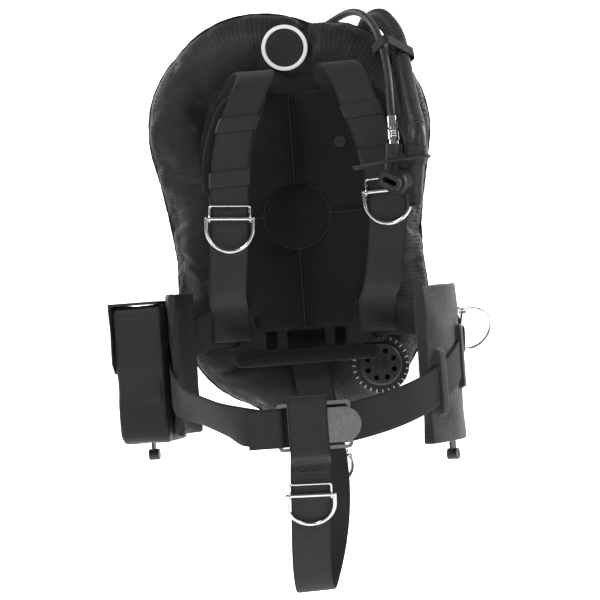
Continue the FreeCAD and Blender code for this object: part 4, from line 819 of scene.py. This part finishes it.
def cushion(name, source, voxel, pressure, cap, material, smaller=0.96, shape=None):
    """A stuffed piece: the CAD shape a little smaller, blown up by the cloth solver, then shaped."""
    obj = remeshed_copy(name, source, voxel, material)
    first = points_of(obj)
    centre = (first.min(axis=0) + first.max(axis=0)) / 2
    set_points(obj, centre + (first - centre) * smaller)
    start = points_of(obj)
    moved = inflate(obj, pressure, 20) - start
    far = np.linalg.norm(moved, axis=1)[:, None]
    set_points(obj, start + moved * np.minimum(1.0, cap / np.maximum(far, 1e-9)))
    low, high = corner_box(source)
    points = fit_into(points_of(obj), low, high, 0.0002)
    set_points(obj, shape(points) if shape else points)
    finer = obj.modifiers.new("finer", "SUBSURF")
    finer.levels = finer.render_levels = 1
    grow(obj)
    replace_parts(obj, source)
    return obj


EMBLEM = 0.0455
PAD_CHANNELS = (
    [(0, 0.171), (0, 0.0455)], [(0, -0.0455), (0, -0.157)],
    [(-0.121, 0.002), (-0.062, 0.002), (-0.0455, 0.0)], [(0.0455, 0.0), (0.062, 0.002), (0.121, 0.002)],
)


def from_run(x, z, a, b):
    """Distances of points from a straight run between two plan points."""
    a, b = np.array(a), np.array(b)
    t = np.clip(((x - a[0]) * (b - a)[0] + (z - a[1]) * (b - a)[1]) / np.dot(b - a, b - a), 0, 1)
    return np.hypot(x - a[0] - t * (b - a)[0], z - a[1] - t * (b - a)[1])


def channel_distance(x, z):
    near = np.abs(np.hypot(x, z) - EMBLEM)
    for line in PAD_CHANNELS:
        for a, b in zip(line, line[1:]):
            near = np.minimum(near, from_run(x, z, a, b))
    return near


def sew_back_pad(points):
    """Pulls the sewn channels in between the four raised cells and crowns the cells."""
    x, y, z = points.T.copy()
    front = y < -0.034
    near = channel_distance(x, z)
    pull = 0.0052 * np.exp(-(near / 0.0055) ** 2) + 0.0045 * np.exp(-(near / 0.016) ** 2)
    slack = 0.0009 * np.sin(x * 190 + 2 * np.sin(z * 45)) * np.clip((near - 0.006) / 0.02, 0, 1)
    y[front] += (pull + slack)[front]
    return np.stack([x, y, z], axis=1)


def on_surface(name, places, lift):
    """Plan points (x, z) dropped from the front on to an object, lifted off it a little."""
    shown = bpy.data.objects[name]
    tree = BVHTree.FromObject(shown, bpy.context.evaluated_depsgraph_get())
    out = []
    for x, z in places:
        hit = tree.ray_cast(Vector((x, -0.5, z)), Vector((0, 1, 0)))[0]
        if hit:
            out.append(Vector((x, hit.y - lift, z)))
    return out


def between(a, b, count):
    return [(a[0] + (b[0] - a[0]) * k / count, a[1] + (b[1] - a[1]) * k / count) for k in range(count + 1)]


def make_back_cushion():
    cushion("back_cushion", "back_pad", 0.0045, 3.0, 0.006, PAD, 0.985, sew_back_pad)
    bpy.context.view_layer.update()
    for k, line in enumerate(PAD_CHANNELS):
        a, b = line[0], line[-1]
        thread_line("pad_seam_%d" % k, on_surface("back_cushion", between(a, b, 40), 0.0003), radius=0.0005)
    ring = [(EMBLEM * math.cos(t), EMBLEM * math.sin(t)) for t in np.linspace(0, 2 * math.pi, 90)]
    thread_line("pad_seam_ring", on_surface("back_cushion", ring, 0.0003), radius=0.0005)


def crown_roll(points):
    """The lumbar roll creases where it is sewn: its front is pulled in a little along evenly spaced upright
    lines.
    """
    x, y, z = points.T.copy()
    front = y < -0.03
    y[front] += (0.0012 * np.cos(x * 130) ** 8)[front]
    return np.stack([x, y, z], axis=1)


make_back_cushion()
cushion("lumbar_cushion", "lumbar_pad", 0.0045, 4.0, 0.005, PAD, 0.97, crown_roll)


PAD_WIDTH, PAD_THICK, PAD_EDGE, PAD_OFFSET = 0.062, 0.0072, 0.0305, -0.0084
KEEPER_LENGTH, KEEPER_HALF, KEEPER_DEPTH, KEEPER_WALL = 0.022, 0.0267, 0.0026, 0.0019


def shoulder_cushion(side, start, end, aside):
    """A crowned pad under the strap: narrower at both ends, bound round its edge."""
    strap = STRAPS["shoulder_strap_" + side]
    ends = lambda t: math.sqrt(max(0.12, 1 - abs(2 * t - 1) ** 7))
    name = "shoulder_cushion_" + side
    sign = 1 if strap.at(0.45)[2][0] > 0 else -1
    pad = build_ribbon(
        name, strap, PAD_WIDTH, PAD_THICK, PAD, start, end, PAD_OFFSET, columns=22, ripple=0.0004, rim=0.006,
        taper=ends, crown=0.22, aside=sign * aside,
    )
    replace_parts(pad, "shoulder_pad_" + side)
    edge = []
    for u in (-1, 1):
        line = []
        for k in range(60):
            t = 0.03 + 0.94 * k / 59
            share = start + (end - start) * t
            along = share * strap.length
            line.append(Vector(strap.spot(along, u * PAD_EDGE * ends(t) + sign * aside, PAD_OFFSET)))
        edge.append(line)
    loop = edge[0] + edge[1][::-1]
    sweep(name + "_binding", loop + loop[:1], lambda s, total: 0.0021, BINDING, sides=8)


SHOULDER_SPANS = {"right": (0.30, 0.575, -0.005), "left": (0.30, 0.54, 0.005)}
for side, (start, end, aside) in SHOULDER_SPANS.items():
    shoulder_cushion(side, start, end, aside)


def band_round(name, strap, share, length, half_wide, half_thick, thick, radius=0.0016):
    """An elastic band round a strap and what lies under it."""
    point, tangent, across, normal = (Vector(v) for v in strap.at(share))
    corners = [(-1, 1), (1, 1), (1, -1), (-1, -1)]
    route = [point + across * a * half_wide + normal * b * half_thick for a, b in corners]
    line = round_corners(route, radius, closed=True, steps=5)
    line, _ = resample(line + line[:1], 120)
    half = np.array(tangent) * length / 2
    ring = Strip(line - half, line + half).face(point)
    return build_ribbon(name, ring, length, thick, WEBBING, ripple=0.0002, columns=8, rim=0.0008)


for side, shares in (("right", (0.40, 0.53)), ("left", (0.38, 0.50))):
    for k, share in enumerate(shares):
        name = "keeper_%s_%d" % (side, k)
        strap = STRAPS["shoulder_strap_" + side]
        band = band_round(name, strap, share, KEEPER_LENGTH, KEEPER_HALF, KEEPER_DEPTH, KEEPER_WALL)
        if k == 0:
            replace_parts(band, "keepers_" + side)


# ---------------------------------------------------------------- loops and bands
def flat_loop(name, points, across, width, thick, radius, closed=False, inside=None, ripple=0.0003):
    route = [Vector(p) for p in points]
    line = round_corners(route, radius, closed)
    line = line + line[:1] if closed else line
    total = sum((b - a).length for a, b in zip(line, line[1:]))
    line, _ = resample(line, max(24, int(total / 0.001)))
    half = np.array(across) * width / 2
    strip = Strip(line - half, line + half)
    if inside is not None:
        strip.face(inside)
    return build_ribbon(name, strip, width, thick, WEBBING, ripple=ripple), strip


BELT_Y, BELT_Z, CROTCH_X = -0.288, -0.279, -0.006
SEAT = 0.0003
RIGHT_Y = BELT_Y - THICK - SEAT
SEWN_Y = RIGHT_Y - THICK - SEAT
FOLD_Y = RIGHT_Y - THICK / 2 - 2 * SEAT - 0.002 - THICK / 2
LOOP_REAR = BELT_Y + THICK + 4 * SEAT
LOOP_FRONT = corner_box("buckle_lever")[0].y - 0.0058
LOOP_TOP = BELT_Z + 0.038
LOOP_SEWN = LOOP_REAR - THICK - SEAT

crotch_route = [
    (CROTCH_X, LOOP_REAR, -0.285), (CROTCH_X, LOOP_REAR, LOOP_TOP), (CROTCH_X, LOOP_FRONT, LOOP_TOP),
    (CROTCH_X, LOOP_FRONT, BELT_Z - 0.037), (CROTCH_X, LOOP_SEWN, BELT_Z - 0.049),
    (CROTCH_X, LOOP_SEWN, BELT_Z - 0.061),
]
LOOP_INSIDE = (CROTCH_X, -0.296, BELT_Z)
_, LOOP = flat_loop("crotch_loop", crotch_route, (1, 0, 0), WIDTH, THICK, 0.0055, inside=LOOP_INSIDE)
fold_route = [
    (-0.070, RIGHT_Y, BELT_Z), (-0.039, RIGHT_Y, BELT_Z), (-0.039, FOLD_Y, BELT_Z), (-0.048, FOLD_Y, BELT_Z),
    (-0.056, SEWN_Y, BELT_Z), (-0.084, SEWN_Y, BELT_Z),
]
flat_loop("buckle_fold", fold_route, (0, 0, 1), WIDTH, THICK, 0.0025, inside=(-0.05, -0.2935, BELT_Z))


def box_stitch(s0, s1, half):
    """The rows of a sewn box with a cross in it."""
    a, b, c, d = (s0, -half), (s0, half), (s1, half), (s1, -half)
    return [(a, b), (b, c), (c, d), (d, a), (a, c), (b, d)]


loop_rows = box_stitch(LOOP.length - 0.024, LOOP.length - 0.003, 0.020)
stitch_rows("crotch_loop_stitches", LOOP, loop_rows, THREAD, THICK / 2 + 0.0004)
SEWN_ENDS = ((0.02, 0.05), (0.95, 0.98))
for name in ("shoulder_strap_right", "shoulder_strap_left"):
    strap = STRAPS[name]
    rows = [row for a, b in SEWN_ENDS for row in box_stitch(a * strap.length, b * strap.length, 0.020)]
    stitch_rows(name + "_stitches", strap, rows, THREAD, THICK / 2 + 0.0002)


def tank_band(name, z):
    """Round the tank: in front of the plate's channel, back through its slots and round behind."""
    radius, centre, slot, front = 0.09355, 0.0987, 0.032, -0.00455
    low = centre - math.sqrt(radius ** 2 - slot ** 2)
    turn = math.asin(slot / radius)
    angles = [2 * math.pi * k / 60 for k in range(61)]
    behind = [a for a in angles if turn < a < 2 * math.pi - turn]
    arc = [(radius * math.sin(a), centre - radius * math.cos(a), z) for a in behind]
    points = [(0, front, z), (slot, front, z), (slot, low, z), *arc, (-slot, low, z), (-slot, front, z)]
    band, _ = flat_loop(name + "_webbing", points, (0, 0, 1), 0.050, 0.0025, 0.004, True, (0, centre, z))
    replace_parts(band, name)


tank_band("tank_band_upper", 0.074)
tank_band("tank_band_lower", -0.074)


# ---------------------------------------------------------------- hoses
def make_corrugated_hose():
    """Rings all along the hose, with a plain cuff at both ends."""
    x, y, z = 0.112, 0.102, 0.218
    route = [
        (x, y, z), (x, y, z + 0.027), (0.119, 0.084, 0.266), (0.137, 0.044, 0.273), (0.155, -0.002, 0.242),
        (0.160, -0.056, 0.176), (0.163, -0.126, 0.126), (0.16606, -0.180, 0.09579),
        (0.16077, -0.180, 0.05816),
    ]
    line, _ = rounded_route(route, step=0.0008)
    cuff = 0.020

    def radius(at, length):
        if at < cuff or at > length - 2 * cuff:
            return 0.0129
        return 0.0134 - 0.0022 * (0.5 - 0.5 * math.cos(2 * math.pi * (at - cuff) / 0.0062)) ** 1.5

    hose = sweep("corrugated_hose_rings", line, radius, HOSE, sides=36)
    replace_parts(hose, "corrugated_hose")


make_corrugated_hose()


def make_lp_hose():
    """The low-pressure hose as a smooth line through the CAD route's corners."""
    route = [
        (0.13486, -0.16635, 0.10561), (0.13530, -0.14338, 0.14314), (0.137, -0.086, 0.186),
        (0.133, -0.040, 0.228),
        (0.123, 0.002, 0.262), (0.102, 0.042, 0.284), (0.070, 0.080, 0.274), (0.034, 0.098, 0.250),
        (0.006, 0.108, 0.216), (-0.002, 0.112, 0.170), (-0.002, 0.112, 0.122),
    ]
    curve = bpy.data.curves.new("lp_hose_line", "CURVE")
    curve.dimensions = "3D"
    curve.bevel_depth = 0.0052
    curve.bevel_resolution = 6
    curve.resolution_u = 16
    curve.use_fill_caps = True
    spline = curve.splines.new("NURBS")
    spline.points.add(len(route) - 1)
    for point, place in zip(spline.points, route):
        point.co = (*place, 1.0)
    spline.order_u = 3
    spline.use_endpoint_u = True
    curve.materials.append(RUBBER)
    obj = grow(link(bpy.data.objects.new("lp_hose_tube", curve)))
    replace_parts(obj, "lp_hose")
    _, total = rounded_route(route)


make_lp_hose()


# ---------------------------------------------------------------- pockets
def pocket_cloth(name, source, body, amount, belt, voxel=0.0021, rounds=6):
    """A cloth pouch from its CAD walls: softened edges, slack panels and gathers, but none at the belt."""
    obj = remeshed_copy(name, source, voxel, POCKET)
    points = points_of(obj)
    normals = np.empty(len(points) * 3)
    obj.data.vertices.foreach_get("normal", normals)
    normals = normals.reshape(-1, 3)
    x, y, z = points.T
    folds = np.sin(z * 75 + 3 * np.sin(y * 30)) * 0.4 + np.sin(y * 62 + z * 28) * 0.35
    folds += np.sin(x * 50 - z * 36) * 0.35
    tree = piece_tree(belt)
    room = np.array([tree.find_nearest(Vector(p))[3] for p in points])
    folds *= np.clip((room - 0.004) / 0.012, 0, 1)
    low, high = corner_box(source)
    moved = points + normals * (folds * amount)[:, None]
    set_points(obj, np.clip(moved, np.array(low) + 0.0002, np.array(high) - 0.0002))
    finer = obj.modifiers.new("finer", "SMOOTH")
    finer.iterations = rounds
    grow(obj, body)
    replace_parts(obj, source)
    return obj


pocket_cloth("pocket_right_cloth", "pocket_right", "pack", 0.0034, "waist_strap_right")
pocket_cloth("pocket_left_cloth", "pocket_left", "pack", 0.0018, "waist_strap_left")
flap_body = next(name for name in frame["bodies"] if "flap" in name)
pocket_cloth("pocket_right_lid", "pocket_right_flap", flap_body, 0.0012, "waist_strap_right", 0.0014, 4)


# ---------------------------------------------------------------- small details
def turned(name, centre, profile, material, body="pack", sides=64):
    """A piece turned about a line from front to back; profile holds (radius, y) pairs."""
    verts, faces = [], []
    cx, cz = centre
    for k in range(sides):
        a = 2 * math.pi * k / sides
        verts += [(cx + r * math.cos(a), y, cz + r * math.sin(a)) for r, y in profile]
    n = len(profile)
    for k in range(sides):
        for m in range(n - 1):
            a, b = k * n + m, ((k + 1) % sides) * n + m
            faces.append((a, b, b + 1, a + 1))
    obj = mesh_object(name, verts, faces, material)
    obj.data.set_sharp_from_angle(angle=math.radians(32))
    return grow(outward(obj), body)


def make_badge():
    """A pale moulded rim round a bare dark disc with a shallow dish in it."""
    low, high = corner_box("wing_badge")
    x, z, r = (low.x + high.x) / 2, (low.z + high.z) / 2, (high.x - low.x) / 2
    rim = [
        (r - 0.0001, high.y), (r - 0.0002, low.y + 0.0010), (r - 0.0012, low.y + 0.0002), (r - 0.0042, low.y),
        (r - 0.0054, low.y + 0.0007), (r - 0.0056, high.y),
    ]
    turned("badge_rim", (x, z), rim, BADGE_RIM)
    front = low.y + 0.0006
    disc = [
        (0.0001, front + 0.0002), (0.016, front + 0.0002), (0.0165, front - 0.0003), (0.0185, front - 0.0003),
        (0.019, front + 0.0002), (r - 0.0057, front), (r - 0.0057, high.y),
    ]
    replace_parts(turned("badge_disc", (x, z), disc, BADGE), "wing_badge")


make_badge()


def make_valve_ticks():
    """Small pale dashes round the dump valve's flange."""
    low, high = corner_box("valve_base")
    cx, cz = (low.x + high.x) / 2, (low.z + high.z) / 2
    radius, angles = 0.0372, np.linspace(0, 2 * math.pi, 29)[:-1]
    places = [(cx + radius * math.cos(a), cz + radius * math.sin(a)) for a in angles]
    verts, faces = [], []
    for hit in on_surface(NODES["valve_base"].name, places, 0.0):
        out = Vector((hit.x - cx, 0, hit.z - cz)).normalized()
        side = Vector((-out.z, 0, out.x))
        base = len(verts)
        for depth in (0.0002, -0.0005):
            for a, b in ((-1, -1), (1, -1), (1, 1), (-1, 1)):
                verts.append(hit + out * a * 0.0022 + side * b * 0.0007 + Vector((0, depth, 0)))
        faces += [(base, base + 1, base + 2, base + 3), (base + 7, base + 6, base + 5, base + 4)]
        faces += [(base + k, base + 4 + k, base + 4 + (k + 1) % 4, base + (k + 1) % 4) for k in range(4)]
    grow(outward(mesh_object("valve_ticks", verts, faces, MARK, smooth=False)))


make_valve_ticks()


# ---------------------------------------------------------------- camera and light
def set_camera():
    """Level with the harness's middle, four metres in front, rolled so that its top leans left."""
    cam = bpy.data.cameras.new("camera")
    obj = link(bpy.data.objects.new("camera", cam))
    cam.sensor_fit = "HORIZONTAL"
    cam.angle = math.radians(11.86)
    place = Vector((-0.0046, -4.0, -0.1163))
    look = Matrix(((1, 0, 0), (0, 0, -1), (0, 1, 0)))
    roll = Matrix.Rotation(math.radians(-4.3), 3, "Z")
    obj.matrix_world = Matrix.Translation(place) @ (look @ roll).to_4x4()
    bpy.context.scene.camera = obj
    return obj


def set_light():
    world = bpy.data.worlds.new("studio")
    bpy.context.scene.world = world
    world.use_nodes = True
    world.node_tree.nodes["Background"].inputs[0].default_value = (1, 1, 1, 1)
    world.node_tree.nodes["Background"].inputs[1].default_value = 0.18
    lamps = [
        ("key", (-1.7, -2.2, 2.4), 75, 1.0), ("fill", (2.4, -2.2, 1.0), 30, 1.4),
        ("low", (0.2, -2.2, -1.6), 8, 1.2),
        ("rim_left", (-2.0, 1.2, 1.2), 34, 1.0), ("rim_right", (2.0, 1.2, 1.0), 34, 1.0),
    ]
    for name, place, power, size in lamps:
        data = bpy.data.lights.new(name, "AREA")
        data.energy = power
        data.size = size
        lamp = link(bpy.data.objects.new(name, data))
        lamp.location = place
        lamp.rotation_euler = (Vector((0, 0, -0.1)) - Vector(place)).to_track_quat("-Z", "Y").to_euler()


def set_backdrop():
    """A plain pale floor well below and a pale wall well behind."""
    mat, _, bsdf = new_material("backdrop", (0.93, 0.93, 0.93), 0.9, spec=0.1)
    bsdf.inputs["Emission Color"].default_value = (1, 1, 1, 1)
    bsdf.inputs["Emission Strength"].default_value = 1.0
    size = 8.0
    upright = [(-size, 3, -3), (size, 3, -3), (size, 3, 5), (-size, 3, 5)]
    level = [(-size, -8, -1.6), (size, -8, -1.6), (size, 3, -1.6), (-size, 3, -1.6)]
    wall = mesh_object("backdrop", upright, [(0, 1, 2, 3)], mat)
    floor = mesh_object("floor", level, [(0, 1, 2, 3)], mat)


set_camera()
set_light()
set_backdrop()
bpy.context.scene.view_settings.view_transform = "Standard"
